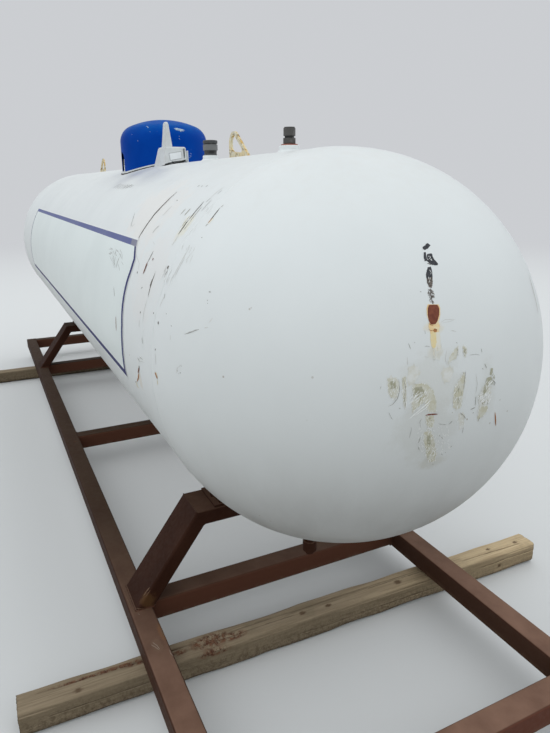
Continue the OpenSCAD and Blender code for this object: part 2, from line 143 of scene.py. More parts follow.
class Mat(Nodes):
    """A material under construction, with the colour laid on it so far."""

    def __init__(self, name):
        self.mat = bpy.data.materials.new(name)
        self.mat.use_nodes = True
        super().__init__(self.mat.node_tree)
        self.shader = self.tree.nodes["Principled BSDF"]
        self.coord = self.node("TexCoord").outputs["Object"]
        self.color = None

    def length(self, vector):
        return self.node("VectorMath", {0: vector}, operation="LENGTH").outputs["Value"]

    def scaled(self, factors, vector=None):
        inputs = {0: self.coord if vector is None else vector, 1: factors}
        return self.node("VectorMath", inputs, operation="MULTIPLY").outputs["Vector"]

    def noise(self, scale, detail, rough, vector=None, warp=0.0):
        inputs = {"Scale": scale, "Detail": detail, "Roughness": rough, "Distortion": warp,
                  "Vector": self.coord if vector is None else vector}
        return self.node("TexNoise", inputs).outputs["Fac"]

    def cells(self, scale):
        return self.node("TexVoronoi", {"Scale": scale, "Vector": self.coord}).outputs["Distance"]

    def mix(self, factor, a, b):
        return self.node("Mix", {"Factor": factor, 6: a, 7: b}, data_type="RGBA").outputs[2]

    def axis(self, name):
        return self.node("SeparateXYZ", {0: self.coord}).outputs[name]

    def up(self, axis="Z"):
        """How far the surface faces along an axis."""
        return self.node("SeparateXYZ", {0: self.node("NewGeometry").outputs["Normal"]}).outputs[axis]

    def near(self, place, reach, ragged, push=0.45, core=0.5):
        """Mask that is 1 within the given half lengths of a place and fades at a ragged edge."""
        inputs = {"Vector": self.coord, "Location": tuple(place), "Scale": reach}
        local = self.node("Mapping", inputs, vector_type="TEXTURE").outputs[0]
        distance = self.math("ADD", self.length(local), self.step(ragged, 0.2, 0.8, -push, push))
        return self.step(distance, 1.1, core)

    def coat(self, mask, tone, cover=None):
        """Lays a tone over the colour so far where the mask is, at a share of full cover."""
        share = mask if cover is None else self.both(mask, cover)
        self.color = self.mix(share, self.color, tone)

    def bump(self, height, distance, strength):
        inputs = {"Height": height, "Distance": distance, "Strength": strength}
        self.put(self.shader.inputs["Normal"], self.node("Bump", inputs).outputs[0])

    def done(self, rough, **values):
        """The material, with the colour laid on it and the values of the shader's own sockets."""
        for key, value in {"Base_Color": self.color, "Roughness": rough, **values}.items():
            self.put(self.shader.inputs[key.replace("_", " ")], value)
        return self.mat


# Paints. The stains, painted shadows and rust of each are rows of place, reach, tone and cover
WHITE = (0.735, 0.76, 0.765)
GREYED = (0.7, 0.725, 0.73)


def white_paint(name, stains=(), painted_shadows=()):
    """Weathered white of the vessel, greyer below, partly as dirt streaks and partly as painted shade of the
    underside, dusty on top, with stains and painted shadows.
    """
    m = Mat(name)
    cloud = m.noise(1.6, 5, 0.6)
    ragged = m.noise(17, 6, 0.7)
    streak = m.noise(9, 4, 0.6, m.scaled((1.0, 1.0, 0.12)))
    m.color = m.mix(m.step(cloud, 0.35, 0.75), WHITE, GREYED)
    # Painted shade and dirt: the lower half is greyed in streaks, for the shade of the underside and for dirt
    below = m.step(m.axis("Z"), AXIS_Z + 0.02, AXIS_Z - TANK_R)
    m.coat(m.both(below, m.step(streak, 0.3, 0.75, 0.5, 1.0)), (0.3, 0.29, 0.265), 0.5)
    speck = m.both(m.step(m.cells(26), 0.075, 0.05), m.step(m.noise(3.1, 2, 0.5), 0.54, 0.62))
    m.coat(speck, (0.3, 0.24, 0.18), 0.6)
    dust = m.both(m.step(m.noise(38, 4, 0.6), 0.35, 0.8, 0.45, 1.0), m.step(m.up(), 0.55, 0.98))
    m.coat(dust, (0.64, 0.61, 0.565), 0.3)
    for place, reach, tone, cover in stains:
        m.coat(m.near(place, reach, ragged), tone, cover)
    # Painted shadows: soft darker patches where nearby parts shade the surface
    for place, reach, tone, cover in painted_shadows:
        m.coat(m.near(place, reach, streak, 0.18, -0.1), tone, cover)
    m.bump(m.math("ADD", m.both(cloud, 3.0), m.noise(240, 2, 0.5)), 0.0004, 0.3)
    return m.done(m.step(m.noise(7, 4, 0.6), 0.3, 0.7, 0.34, 0.48), Specular_IOR_Level=0.35)


def skid_paint(name, rust_at):
    """Brown of the skid, dusty on top. Painted light: faces that face ahead are lighter and redder, and they,
    the flanks and the dust grow lighter towards the front end, out of the tank's shadow.
    """
    m = Mat(name)
    patch = m.noise(5.5, 5, 0.62)
    grain = m.noise(70, 5, 0.65)
    ragged = m.noise(34, 6, 0.7)
    # Painted light: this share rises from 0 under the tank, in its shadow, to 1 at the front end
    painted_light_near_end = m.step(m.axis("X"), 0.8, 2.4)
    by_rail = m.step(m.axis("Z"), RAIL_TOP + 0.008, RAIL_TOP - 0.001)
    m.color = m.mix(m.step(patch, 0.35, 0.7), (0.03, 0.0098, 0.0048), (0.043, 0.016, 0.0088))
    # Painted light: faces that face ahead are painted lighter and redder, most at the front end
    red = m.mix(m.step(m.axis("X"), 1.9, 2.4), (0.098, 0.039, 0.0235), (0.122, 0.045, 0.029))
    m.coat(m.both(m.step(m.up("X"), 0.55, 0.85), by_rail), red, 0.9)
    # Painted light: the flanks are painted lighter towards the front end
    flank = m.step(m.math("ABSOLUTE", m.up("Y")), 0.75, 0.95)
    m.coat(m.both(flank, by_rail), m.mix(painted_light_near_end, (0.04, 0.017, 0.01), (0.062, 0.029, 0.018)), 0.8)
    # Dust on top, painted dark under the tank as its shadow and light at the front end
    film = m.both(m.step(m.up(), 0.62, 0.97), m.step(m.noise(8, 5, 0.6), 0.25, 0.75, 0.6, 1.0))
    film = m.both(film, m.step(m.axis("Z"), 0.3, 0.2, 0.74, 1.0))
    m.coat(film, m.mix(painted_light_near_end, (0.06, 0.037, 0.023), (0.245, 0.14, 0.098)), 0.88)
    rust = m.step(m.math("ADD", patch, m.both(grain, 0.35)), 0.86, 0.95)
    m.coat(rust, (0.15, 0.055, 0.024), 0.55)
    nick = m.step(m.noise(24, 6, 0.72, m.scaled((0.35, 1.0, 1.0))), 0.69, 0.73)
    m.coat(nick, (0.19, 0.12, 0.08), 0.3)
    splash = m.both(m.step(m.axis("Z"), RAIL_BOTTOM + 0.026, RAIL_BOTTOM), m.step(ragged, 0.4, 0.62))
    m.coat(splash, (0.14, 0.092, 0.058), 0.55)
    for place, reach, tone, cover in rust_at:
        m.coat(m.near(place, reach, ragged), tone, cover)
    m.bump(m.math("ADD", grain, m.both(rust, 0.6)), 0.0005, 0.45)
    return m.done(m.step(grain, 0.3, 0.7, 0.6, 0.76), Specular_IOR_Level=0.1)


def dome_paint():
    m = Mat("dome_blue")
    fade = m.noise(4.5, 5, 0.6)
    m.color = m.mix(m.step(fade, 0.3, 0.75), (0.0004, 0.043, 0.305), (0.0009, 0.06, 0.375))
    # Painted highlight: surfaces that face up are coated a lighter blue, as the sky's sheen on the top of the
    # dome
    dust = m.both(m.step(m.up(), 0.2, 1.0), m.step(m.noise(19, 5, 0.65), 0.3, 0.75, 0.35, 1.0))
    m.coat(dust, (0.012, 0.19, 0.43), 0.34)
    chip = m.both(m.step(m.cells(38), 0.09, 0.06), m.step(m.noise(9, 2, 0.5), 0.55, 0.62))
    m.coat(chip, (0.42, 0.45, 0.48), 0.7)
    m.bump(m.noise(160, 2, 0.5), 0.0004, 0.25)
    return m.done(m.step(fade, 0.3, 0.7, 0.34, 0.46), Specular_IOR_Level=0.02)


def lug_paint():
    m = Mat("lug_yellow")
    wear = m.noise(60, 6, 0.7)
    face = m.mix(m.step(wear, 0.4, 0.58), (0.64, 0.52, 0.29), (0.62, 0.575, 0.44))
    rim = m.mix(m.step(wear, 0.42, 0.6), (0.6, 0.37, 0.1), (0.7, 0.64, 0.44))
    m.color = m.mix(m.step(m.math("ABSOLUTE", m.up("Y")), 0.75, 0.35), face, rim)
    rust = m.step(m.noise(55, 6, 0.72, warp=0.6), 0.52, 0.6)
    m.coat(rust, (0.13, 0.075, 0.03), 0.8)
    m.bump(m.math("ADD", wear, m.both(rust, 0.7)), 0.001, 0.6)
    return m.done(0.62)


def fitting_paint(name, *bands):
    """Dark fitting whose grey changes with height: bands of height over the crest and tone."""
    m = Mat(name)
    wear = m.noise(60, 5, 0.65)
    height = m.math("SUBTRACT", m.axis("Z"), CREST)
    m.color = bands[0][1]
    for start, tone in bands[1:]:
        m.coat(m.step(height, start - 0.0006, start + 0.0006), tone)
    m.coat(m.step(wear, 0.45, 0.7), (0.2, 0.195, 0.185), 0.35)
    m.coat(m.step(m.up(), 0.5, 1.0), (0.17, 0.165, 0.15), 0.45)
    m.bump(wear, 0.0006, 0.5)
    return m.done(0.5)


def brass_look():
    m = Mat("valve_brass")
    tarnish = m.noise(45, 5, 0.65)
    m.color = m.mix(m.step(tarnish, 0.35, 0.7), (0.62, 0.43, 0.16), (0.33, 0.24, 0.12))
    m.bump(tarnish, 0.0003, 0.5)
    return m.done(m.step(tarnish, 0.3, 0.7, 0.28, 0.52), Metallic=1.0)


def plain_look(name, tone, other, rough, scale=26):
    """Two close tones mottled by noise, for plastic, rubber and marks."""
    m = Mat(name)
    m.color = m.mix(m.step(m.noise(scale, 5, 0.65), 0.38, 0.66), tone, other)
    m.bump(m.noise(420, 2, 0.5), 0.0003, 0.35)
    return m.done(rough)


# Pieces, and marks that are placed by the photograph's pixels
def skin(objects):
    """Function that finds the point of some objects behind a pixel of the photograph."""
    verts, faces = [], []
    for obj in objects:
        start = len(verts)
        verts += [v.co[:] for v in obj.data.vertices]
        faces += [[start + i for i in face.vertices] for face in obj.data.polygons]
    tree = BVHTree.FromPolygons(verts, faces)

    def place(px, py, lift=0.0):
        direction = ray_through(px, py)
        hit, normal = tree.ray_cast(EYE, direction)[:2]
        if hit is None:
            hit, normal = tree.find_nearest(EYE + direction * 2.5)[:2]
        if normal.dot(direction) > 0:
            normal = -normal
        return hit + normal * lift

    return place


def piece(name, verts, faces, look, body=TANK, smooth=True):
    mesh = bpy.data.meshes.new(name)
    mesh.from_pydata(verts, [], faces)
    mesh.validate()
    for face in mesh.polygons:
        face.use_smooth = smooth
    made = bpy.data.objects.new(name, mesh)
    scene.collection.objects.link(made)
    made.data.materials.append(look)
    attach(made, body)
    return made


def wave(x, y, z):
    """Smooth noise at a place."""
    return noise.noise(Vector((x, y, z)))


def pairs(row):
    """Points of a flat row of their coordinates."""
    return list(zip(row[::2], row[1::2]))


def divided(start, end, count):
    return [tuple(a + (b - a) * k / count for a, b in zip(start, end)) for k in range(count)]


def ragged(outline, amount, grain):
    """Outline resampled and pushed about by noise, so that its edge is worn."""
    fine = []
    for a, b in zip(outline, outline[1:] + outline[:1]):
        for x, y in divided(a, b, max(1, round(math.dist(a, b) / grain))):
            push = noise.noise_vector(Vector((x * 0.9 / grain, y * 0.9 / grain, 3.1)))
            fine.append((x + push.x * amount, y + push.y * amount))
    return fine


def stroke(points, half, wobble=0.35):
    """Outline of a line that tapers at both ends."""
    fine = []
    for a, b in zip(points, points[1:]):
        fine += divided(a, b, max(1, math.ceil(math.dist(a, b) / (half * 3.0))))
    fine.append(points[-1])
    left, back = [], []
    total = len(fine) - 1
    for k, (x, y) in enumerate(fine):
        ax, ay = fine[max(k - 1, 0)]
        bx, by = fine[min(k + 1, total)]
        size = math.hypot(bx - ax, by - ay) or 1.0
        nx, ny = -(by - ay) / size, (bx - ax) / size
        taper = min(1.0, 4.0 * min(k, total - k) / total + 0.15)
        width = half * taper * (1 + wobble * noise.noise(Vector((x * 0.7 / half, y * 0.7 / half, 0.5))))
        left.append((x + nx * width, y + ny * width))
        back.append((x - nx * width, y - ny * width))
    return left + back[::-1]


def decal(name, outlines, surface, look, lift, longest=3.5, body=TANK):
    """Flat marks on a surface, outlined in its own two coordinates and lifted off it by millimetres."""
    bm = bmesh.new()
    for outline in outlines:
        bm.faces.new([bm.verts.new((x, y, 0)) for x, y in outline])
    bmesh.ops.triangulate(bm, faces=bm.faces[:])
    for _ in range(4):
        wide = [edge for edge in bm.edges if edge.calc_length() > longest]
        if not wide:
            break
        bmesh.ops.subdivide_edges(bm, edges=wide, cuts=1)
        bmesh.ops.triangulate(bm, faces=[face for face in bm.faces if len(face.verts) > 3])
    bm.verts.ensure_lookup_table()
    verts = [surface(v.co.x, v.co.y, lift / 1000) for v in bm.verts]
    faces = []
    for face in bm.faces:
        ids = [v.index for v in face.verts]
        a, b, c = (Vector(verts[i]) for i in ids)
        out = a - Vector((min(max(a.x, -SEAM_X), SEAM_X), 0, AXIS_Z))
        faces.append(ids if (b - a).cross(c - a).dot(out) > 0 else ids[::-1])
    bm.free()
    return piece(name, verts, faces, look, body)


def enlarged(view, points):
    """Points read off an enlargement of the photograph, as pixels of the photograph itself."""
    left, top, zoom = view
    return [(left + x / zoom, top + y / zoom) for x, y in points]


def patches(view, edge, *shapes):
    """Worn patches: each row holds the coordinates round one patch."""
    return [enlarged(view, ragged(pairs(shape), edge, 5.0)) for shape in shapes]


def lines(view, *strokes):
    """Strokes: each row is half the width, then the coordinates along the stroke."""
    return [enlarged(view, stroke(pairs(points), half)) for half, *points in strokes]


def flecks(view, x_mid, y_mid, x_reach, y_reach, count, angle, length, half, spread):
    """Scattered short strokes inside an ellipse of the enlargement."""
    made = []
    for _ in range(count):
        turn, far = rng.uniform(0, math.tau), math.sqrt(rng.random())
        x = x_mid + x_reach * far * math.cos(turn)
        y = y_mid + y_reach * far * math.sin(turn)
        lean = math.radians(angle + rng.uniform(-spread, spread))
        size = length * rng.uniform(0.35, 1.0) / 2
        dx, dy = math.cos(lean) * size, math.sin(lean) * size
        bend = rng.uniform(-0.12, 0.12)
        points = [(x - dx, y - dy), (x - dy * bend, y + dx * bend), (x + dx, y + dy)]
        made.append(enlarged(view, stroke(points, half * rng.uniform(0.5, 1.0))))
    return made


def fields(view, *rows):
    """Fields of flecks: rows of middle, reach, count, angle, length, half width and spread of angle."""
    return [mark for row in rows for mark in flecks(view, *row)]


def fringe(view, outlines, every, angle, length, half, spread=30):
    """Short strokes scattered along the edges of outlines, so that a mark has no clean edge."""
    made = []
    for outline in map(pairs, outlines):
        for a, b in zip(outline, outline[1:] + outline[:1]):
            for _ in range(max(1, round(math.dist(a, b) / every))):
                t = rng.random()
                x, y = (p + (q - p) * t for p, q in zip(a, b))
                made += flecks(view, x, y, 5, 5, 1, angle, length, half, spread)
    return made


# Materials of the record's slots and of the pieces added here
tank_white = white_paint("tank_white")
fitting_dark = fitting_paint("fitting_dark", (0, (0.07, 0.072, 0.074)), (0.0245, (0.012, 0.012, 0.013)),
                             (0.036, (0.15, 0.152, 0.156)), (0.058, (0.012, 0.012, 0.013)),
                             (0.061, (0.045, 0.046, 0.05)))
front_dark = fitting_paint("front_dark", (0, (0.02, 0.019, 0.019)), (0.0235, (0.06, 0.056, 0.052)),
                           (0.038, (0.01, 0.01, 0.01)), (0.044, (0.07, 0.066, 0.062)))
lug_yellow = lug_paint()
foot_black = plain_look("foot_black", (0.014, 0.014, 0.015), (0.026, 0.025, 0.024), 0.7)


# Heads: a smooth half sphere of even quads stands for each head of the model
def round_head(node_name, side, half_steps=48):
    verts, faces, index = [], [], {}

    def corner(x, y, z):
        key = (round(x, 5), round(y, 5), round(z, 5))
        if key not in index:
            index[key] = len(verts)
            ray = Vector([math.tan(c * math.pi / 4) for c in (x, y, z)]).normalized()
            radius = TANK_R + 0.00022 * noise.noise(ray * 3.2 + Vector((side, 0, 0))) * min(1.0, ray.x * 4)
            verts.append(Vector((side * (SEAM_X + radius * ray.x), radius * ray.y, AXIS_Z + radius * ray.z)))
        return index[key]

    across = [k / half_steps - 1 for k in range(2 * half_steps + 1)]
    along = [k / half_steps for k in range(half_steps + 1)]
    sheets = [(across, across, lambda a, b: (1, a, b))]
    for end in (-1, 1):
        sheets.append((along, across, lambda a, b, end=end: (a, end, b)))
        sheets.append((along, across, lambda a, b, end=end: (a, b, end)))
    middle = Vector((side * SEAM_X, 0, AXIS_Z))
    for first, second, spot in sheets:
        for a0, a1 in zip(first, first[1:]):
            for b0, b1 in zip(second, second[1:]):
                quad = [corner(*spot(a, b)) for a, b in ((a0, b0), (a1, b0), (a1, b1), (a0, b1))]
                p, q, r = (verts[i] for i in quad[:3])
                faces.append(quad if (q - p).cross(r - p).dot(p - middle) > 0 else quad[::-1])
    rim = [verts[i].copy() for key, i in index.items() if key[0] == 0]
    rim.sort(key=lambda v: side * math.atan2(v.z - AXIS_Z, v.y))
    start = len(verts)
    verts += rim
    faces.append([start + k for k in reversed(range(len(rim)))])
    made = piece(node_name + "_round", verts, faces, tank_white)
    made.data.polygons[len(faces) - 1].use_smooth = False
    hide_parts(node_name)
    return made


front_round = round_head("front_head", 1)
round_head("rear_head", -1)

# Stains of the near head, the shell and the skid, and painted shadows on the shell, at pixels of the
# photograph
head_at = skin([front_round])
shell_at = skin([NODES["tank_shell"]])
tank_at = skin([NODES["tank_shell"], front_round])
rail_at = skin([NODES[name] for name in ("left_rail", "front_left_leg", "front_beam")])


def placed(surface, *rows):
    return [(surface(px, py), *rest) for px, py, *rest in rows]


head_white = white_paint("head_white", placed(
    head_at,
    (435.0, 337.0, (0.3, 0.0095, 0.034), (0.66, 0.5, 0.235), 0.62),
    (436.0, 352.0, (0.3, 0.016, 0.014), (0.62, 0.55, 0.39), 0.45),
    (432.5, 327.0, (0.3, 0.022, 0.012), (0.72, 0.6, 0.38), 0.4),
    (434.0, 385.0, (0.3, 0.07, 0.07), (0.655, 0.665, 0.64), 0.55),
    (428.0, 430.0, (0.3, 0.075, 0.085), (0.6, 0.61, 0.585), 0.45),
    (486.0, 395.0, (0.3, 0.032, 0.07), (0.64, 0.65, 0.625), 0.4),
    (432.5, 462.0, (0.3, 0.03, 0.02), (0.52, 0.51, 0.44), 0.4)))
shell_white = white_paint("shell_white", placed(
    shell_at,
    (150.0, 215.0, (0.22, 0.14, 0.14), (0.79, 0.735, 0.69), 0.42),
    (186.0, 226.0, (0.035, 0.05, 0.045), (0.76, 0.69, 0.48), 0.4),
    (208.0, 221.0, (0.02, 0.035, 0.035), (0.74, 0.62, 0.42), 0.4),
    (150.0, 275.0, (0.13, 0.1, 0.13), (0.77, 0.735, 0.715), 0.35),
    (140.0, 378.0, (0.02, 0.02, 0.045), (0.64, 0.56, 0.44), 0.45)), placed(
    # painted shadows of the dome and the transmitter on the shell
    shell_at,
    (134.0, 175.5, (0.22, 0.14, 0.1), (0.45, 0.462, 0.505), 0.75),
    (153.0, 174.0, (0.26, 0.12, 0.1), (0.48, 0.492, 0.53), 0.65)))
skid_brown = skid_paint("skid_brown", placed(
    rail_at,
    (147.5, 600.0, (0.03, 0.026, 0.03), (0.098, 0.048, 0.018), 0.65),
    (163.0, 633.0, (0.05, 0.018, 0.03), (0.185, 0.088, 0.042), 0.6),
    (157.0, 645.0, (0.035, 0.02, 0.03), (0.165, 0.105, 0.07), 0.4)))

# The timbers lie askew by this many degrees
SKEW = 1.44


def timber_look():
    """Weathered softwood: pale worn top, muddy sides, grain and checks along the length, painted lighter
    towards +Y as painted light out of the tank's shadow.
    """
    m = Mat("weathered_timber")
    skew = m.node("Mapping", {"Vector": m.coord, "Rotation": (0, 0, math.radians(SKEW))}).outputs[0]
    grain = m.noise(1.0, 7, 0.66, m.scaled((130, 5.0, 130), skew), 0.25)
    fibre = m.noise(1.0, 4, 0.6, m.scaled((420, 12, 420), skew))
    broad = m.noise(1.0, 5, 0.62, m.scaled((22, 2.6, 22), skew), 0.8)
    mud = m.noise(85, 6, 0.78)
    # Painted light: the timber is painted darker at -Y, in the tank's shadow, and lighter towards +Y
    painted_light_along_y = m.step(m.axis("Y"), 0.0, 1.05)
    dark_tone = m.mix(painted_light_along_y, (0.17, 0.126, 0.08), (0.37, 0.272, 0.16))
    pale_tone = m.mix(painted_light_along_y, (0.29, 0.226, 0.152), (0.6, 0.46, 0.285))
    m.color = m.mix(m.step(grain, 0.28, 0.7), dark_tone, pale_tone)
    m.coat(m.step(broad, 0.38, 0.7, 0, 0.45), pale_tone)
    m.coat(m.step(fibre, 0.55, 0.75, 0, 0.3), (0.12, 0.088, 0.055))
    m.coat(m.step(m.noise(7.5, 6, 0.7), 0.5, 0.72, 0, 0.38), (0.15, 0.118, 0.072))
    side = m.step(m.up(), 0.65, 0.25)
    m.coat(side, (0.175, 0.138, 0.088), 0.38)
    spatter = m.both(m.step(mud, 0.46, 0.6), m.step(m.axis("Z"), 0.075, 0.015, 0.25, 1.0))
    m.coat(m.both(spatter, m.step(painted_light_along_y, 0.2, 1.0, 0.75, 0.25)), (0.085, 0.062, 0.038), side)
    m.coat(m.both(m.step(m.axis("Z"), 0.03, 0.004), m.step(mud, 0.3, 0.6)), (0.1, 0.078, 0.052), 0.7)
    hollow, knot, torn = (m.node("Attribute", attribute_name=name).outputs["Fac"] for name in DENTS)
    m.coat(hollow, (0.036, 0.024, 0.014), 0.85)
    m.coat(knot, (0.082, 0.046, 0.024), m.step(grain, 0.2, 0.7, 0.6, 1.0))
    red = m.mix(m.step(mud, 0.42, 0.58), (0.07, 0.026, 0.015), (0.175, 0.082, 0.046))
    m.coat(torn, red, m.step(m.noise(60, 6, 0.75), 0.4, 0.56))
    m.bump(m.math("ADD", grain, m.both(fibre, 0.4)), 0.0016, 0.7)
    return m.done(0.88, Specular_IOR_Level=0.25)


DENTS = ("hollow", "knot", "torn")
timber = timber_look()
LOOKS = {"tank_paint": tank_white, "skid_paint": skid_brown, "dome_paint": dome_paint(),
         "lug_paint": lug_yellow, "dark_cap": fitting_dark, "valve_brass": brass_look(),
         "foot_rubber": foot_black, "timber": timber,
         "transmitter_plastic": plain_look("sender_white", (0.66, 0.68, 0.69), (0.6, 0.61, 0.61), 0.45)}
OWN_LOOKS = {"tank_shell": shell_white, "front_head": head_white, "front_valve": front_dark}
front_round.data.materials[0] = head_white
for part in frame["record"]["subparts"]:
    materials = NODES[part["node"]].data.materials
    materials.clear()
    materials.append(OWN_LOOKS.get(part["node"], LOOKS[part["material_slot"]]))


# Weathered timbers with checks, knots, worn edges and rough ends
def across_face(face, outward, z, least):
    """Place across a face, 0 the top and 1 the side that faces outward, or None off that face."""
    across, height = (outward, z) if face == 0 else (z, outward)
    return across if height >= least else None


def timber_bearer(node_name, seed, checks, knots, tears):
    """Rows of place along, face, place across, and length, half width and depth of a check, radius of a knot,
    or half length and half width of a tear."""
    a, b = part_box(node_name)
    centre = (a + b) / 2
    side = 1 if centre.x > 0 else -1
    size = b.z - a.z
    lean = math.radians(SKEW)
    length = ((b.y - a.y) - size * math.sin(lean)) / math.cos(lean)
    half, corner = size / 2, 0.01
    flat = half - corner
    rows, per_side, end_rings = 260, 40, 8
    around = 4 * per_side
    ring = []
    for quarter in range(4):
        for k in range(per_side):
            spread = 1.25 * (-1 + 2 * k / per_side)
            if abs(spread) <= 1:
                u, v = spread * flat, half
            else:
                swing = (abs(spread) - 1) / 0.25 * math.pi / 4
                u = math.copysign(flat + corner * math.sin(swing), spread)
                v = flat + corner * math.cos(swing)
            for _ in range(quarter):
                u, v = v, -u
            ring.append((u, v))
    drift = Vector((seed * 3.7, seed * 1.3, seed * 5.1))

    def worn(x, y, z):
        return noise.noise(Vector((x, y, z)) + drift)

    verts, hollow, knot, torn = [], [], [], []
    for i in range(rows + 1):
        along = length * (i / rows - 0.5)
        for u, v in ring:
            sink = 0.001 * (0.6 + worn(u * 9, along * 2.2, v * 9))
            sink += 0.0007 * (1 + worn(u * 130, along * 9, v * 130))
            if abs(u) > flat - 0.004 and abs(v) > flat - 0.004:
                sink += 0.0055 * max(0.0, worn(along * 6, u * 8, v * 8) + 0.12)
            dark, knotty, rip = 0.0, 0.0, 0.0
            for start, face, across, reach, broad, depth in checks:
                where = across_face(face, u * side, v, flat - 0.002)
                far = abs(along - start) / (reach / 2)
                if where is None or far > 1:
                    continue
                line = across + 0.0045 * wave(along * 5, start * 7, seed)
                line += 0.0012 * wave(along * 40, start * 3, seed)
                width = broad * (1 - far ** 2) * (0.7 + 0.6 * wave(along * 22, start, 2))
                gap = max(0.0, 1 - abs(where - line) / max(width + 0.0012, 1e-5))
                dark = max(dark, min(1.0, gap * 1.8))
                sink += depth * min(1.0, gap * 1.6)
            for start, face, across, radius in knots:
                where = across_face(face, u * side, v, flat - 0.004)
                if where is not None:
                    far = math.hypot((along - start) * 0.75, where - across) / radius
                    knotty = max(knotty, min(1.0, (1.3 - far) * 2.2))
                    sink += 0.0012 * max(0.0, 1 - far)
            for start, face, across, reach, broad in tears:
                where = across_face(face, u * side, v, flat - 0.01)
                if where is not None:
                    far = math.hypot((along - start) / reach, (where - across) / broad)
                    rip = max(rip, min(1.0, (1.25 - far) * 2))
            sink += rip * 0.0016 * (1 + worn(u * 190, along * 60, v * 190))
            squeeze = 1 - sink / half
            end = wave(u * 70, seed, v * 70) * 0.003 - 0.004
            stop = along + (end if i == rows else -end if i == 0 else 0)
            verts.append(Vector((u * squeeze, stop, max(v * squeeze, -half))))
            hollow.append(dark)
            knot.append(knotty)
            torn.append(rip)
    faces = []
    for first in range(0, rows * around, around):
        for j in range(around):
            after = (j + 1) % around
            faces.append((first + j, first + after, first + around + after, first + around + j))
    for base, flip, y_end in ((0, True, -length / 2), (rows * around, False, length / 2)):
        last = list(range(base, base + around))
        for step in range(end_rings):
            share = 1 - (step + 1) / (end_rings + 1)
            fresh = list(range(len(verts), len(verts) + around))
            for rim in verts[base:base + around]:
                u, v = rim.x * share, rim.z * share
                inward = 0.0045 + 0.0035 * wave(u * 90, seed + flip, v * 220)
                inward += 0.004 * max(0.0, wave(u * 35, seed * 2 + flip, v * 35))
                verts.append(Vector((u, y_end + (inward if flip else -inward), v)))
                hollow.append(0.25 + 0.5 * max(0.0, wave(u * 60, seed, v * 160)))
            for k in range(around):
                quad = (last[k], last[(k + 1) % around], fresh[(k + 1) % around], fresh[k])
                faces.append(quad if flip else quad[::-1])
            last = fresh
        faces.append(tuple(last) if flip else tuple(last[::-1]))
    plain = [0.0] * (len(verts) - len(knot))
    spin = Matrix.Rotation(-lean, 4, "Z")
    places = [centre + spin @ v for v in verts]
    made = piece(node_name + "_wood", places, [face[::-1] for face in faces], timber)
    for name, values in zip(DENTS, (hollow, knot + plain, torn + plain)):
        made.data.attributes.new(name, "FLOAT", "POINT").data.foreach_set("value", values)
    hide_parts(node_name)


timber_bearer(
    "front_timber", 1,
    [(-0.7, 0, -0.017, 0.44, 0.0034, 0.009), (0.1, 0, -0.012, 0.95, 0.0016, 0.006),
     (0.42, 0, -0.004, 0.42, 0.001, 0.004), (-0.6, 0, -0.01, 0.3, 0.0016, 0.006),
     (-0.25, 0, 0.006, 0.3, 0.001, 0.004), (0.78, 0, 0.015, 0.3, 0.0014, 0.005),
     (0.84, 1, 0.012, 0.28, 0.0016, 0.006), (0.2, 1, -0.01, 0.6, 0.001, 0.004),
     (-0.7, 1, 0.005, 0.4, 0.0012, 0.004)],
    [(0.326, 0, 0.012, 0.01), (-0.07, 0, 0.01, 0.008), (0.55, 1, 0.004, 0.011), (0.78, 0, -0.006, 0.006),
     (0.915, 0, 0.004, 0.007), (0.8, 1, -0.008, 0.007), (-0.815, 0, 0.024, 0.008), (0.03, 0, 0.014, 0.007)],
    [(-0.7, 0, -0.017, 0.19, 0.007), (-0.63, 0, -0.012, 0.045, 0.012), (-0.395, 0, -0.002, 0.07, 0.03),
     (-0.33, 0, 0.01, 0.05, 0.018), (-0.505, 0, 0.006, 0.022, 0.012), (-0.4, 1, 0.034, 0.05, 0.012)])
timber_bearer(
    "rear_timber", 4,
    [(-0.2, 0, 0.01, 0.8, 0.0016, 0.006), (0.5, 0, -0.014, 0.5, 0.0014, 0.005),
     (0.1, 1, 0.004, 0.7, 0.0012, 0.005), (-0.75, 0, -0.006, 0.35, 0.0018, 0.006)],
    [(0.05, 0, 0.006, 0.012), (-0.45, 1, -0.004, 0.011), (0.72, 0, -0.012, 0.01)],
    [(0.35, 0, 0.014, 0.12, 0.018)])


# Weld beads
def weld(name, paths, radius, look, sides=8, spacing=0.006):
    """Weld beads of uneven ripples along paths of points, each closed where its ends meet."""
    verts, faces = [], []
    for path in paths:
        points = [Vector(p) for p in path]
        closed = (points[0] - points[-1]).length < 1e-6
        fine = []
        for a, b in zip(points, points[1:]):
            count = max(1, round((b - a).length / spacing))
            fine += [a.lerp(b, k / count) for k in range(count)]
        if not closed:
            fine.append(points[-1])
        total, first = len(fine), len(verts)
        for k, point in enumerate(fine):
            before = fine[k - 1] if k or closed else point
            after = fine[(k + 1) % total] if k + 1 < total or closed else point
            along = (after - before).normalized()
            side = along.cross(Vector((0.31, 0.52, 0.79))).normalized()
            other = along.cross(side)
            size = radius * (0.82 + 0.18 * abs(math.sin(k * 1.1)) + 0.22 * noise.noise(point * 60))
            for s in range(sides):
                angle = math.tau * s / sides
                verts.append(point + (side * math.cos(angle) + other * math.sin(angle)) * size)
        for k in range(total if closed else total - 1):
            here, there = first + k * sides, first + (k + 1) % total * sides
            for s in range(sides):
                after = (s + 1) % sides
                faces.append((here + s, here + after, there + after, there + s))
        if not closed:
            faces.append(tuple(first + s for s in reversed(range(sides))))
            faces.append(tuple(first + (total - 1) * sides + s for s in range(sides)))
    return piece(name, verts, faces, look)


def turns(count):
    """Angles once round, the first one again at the end."""
    return [math.tau * (k % count) / count for k in range(count + 1)]


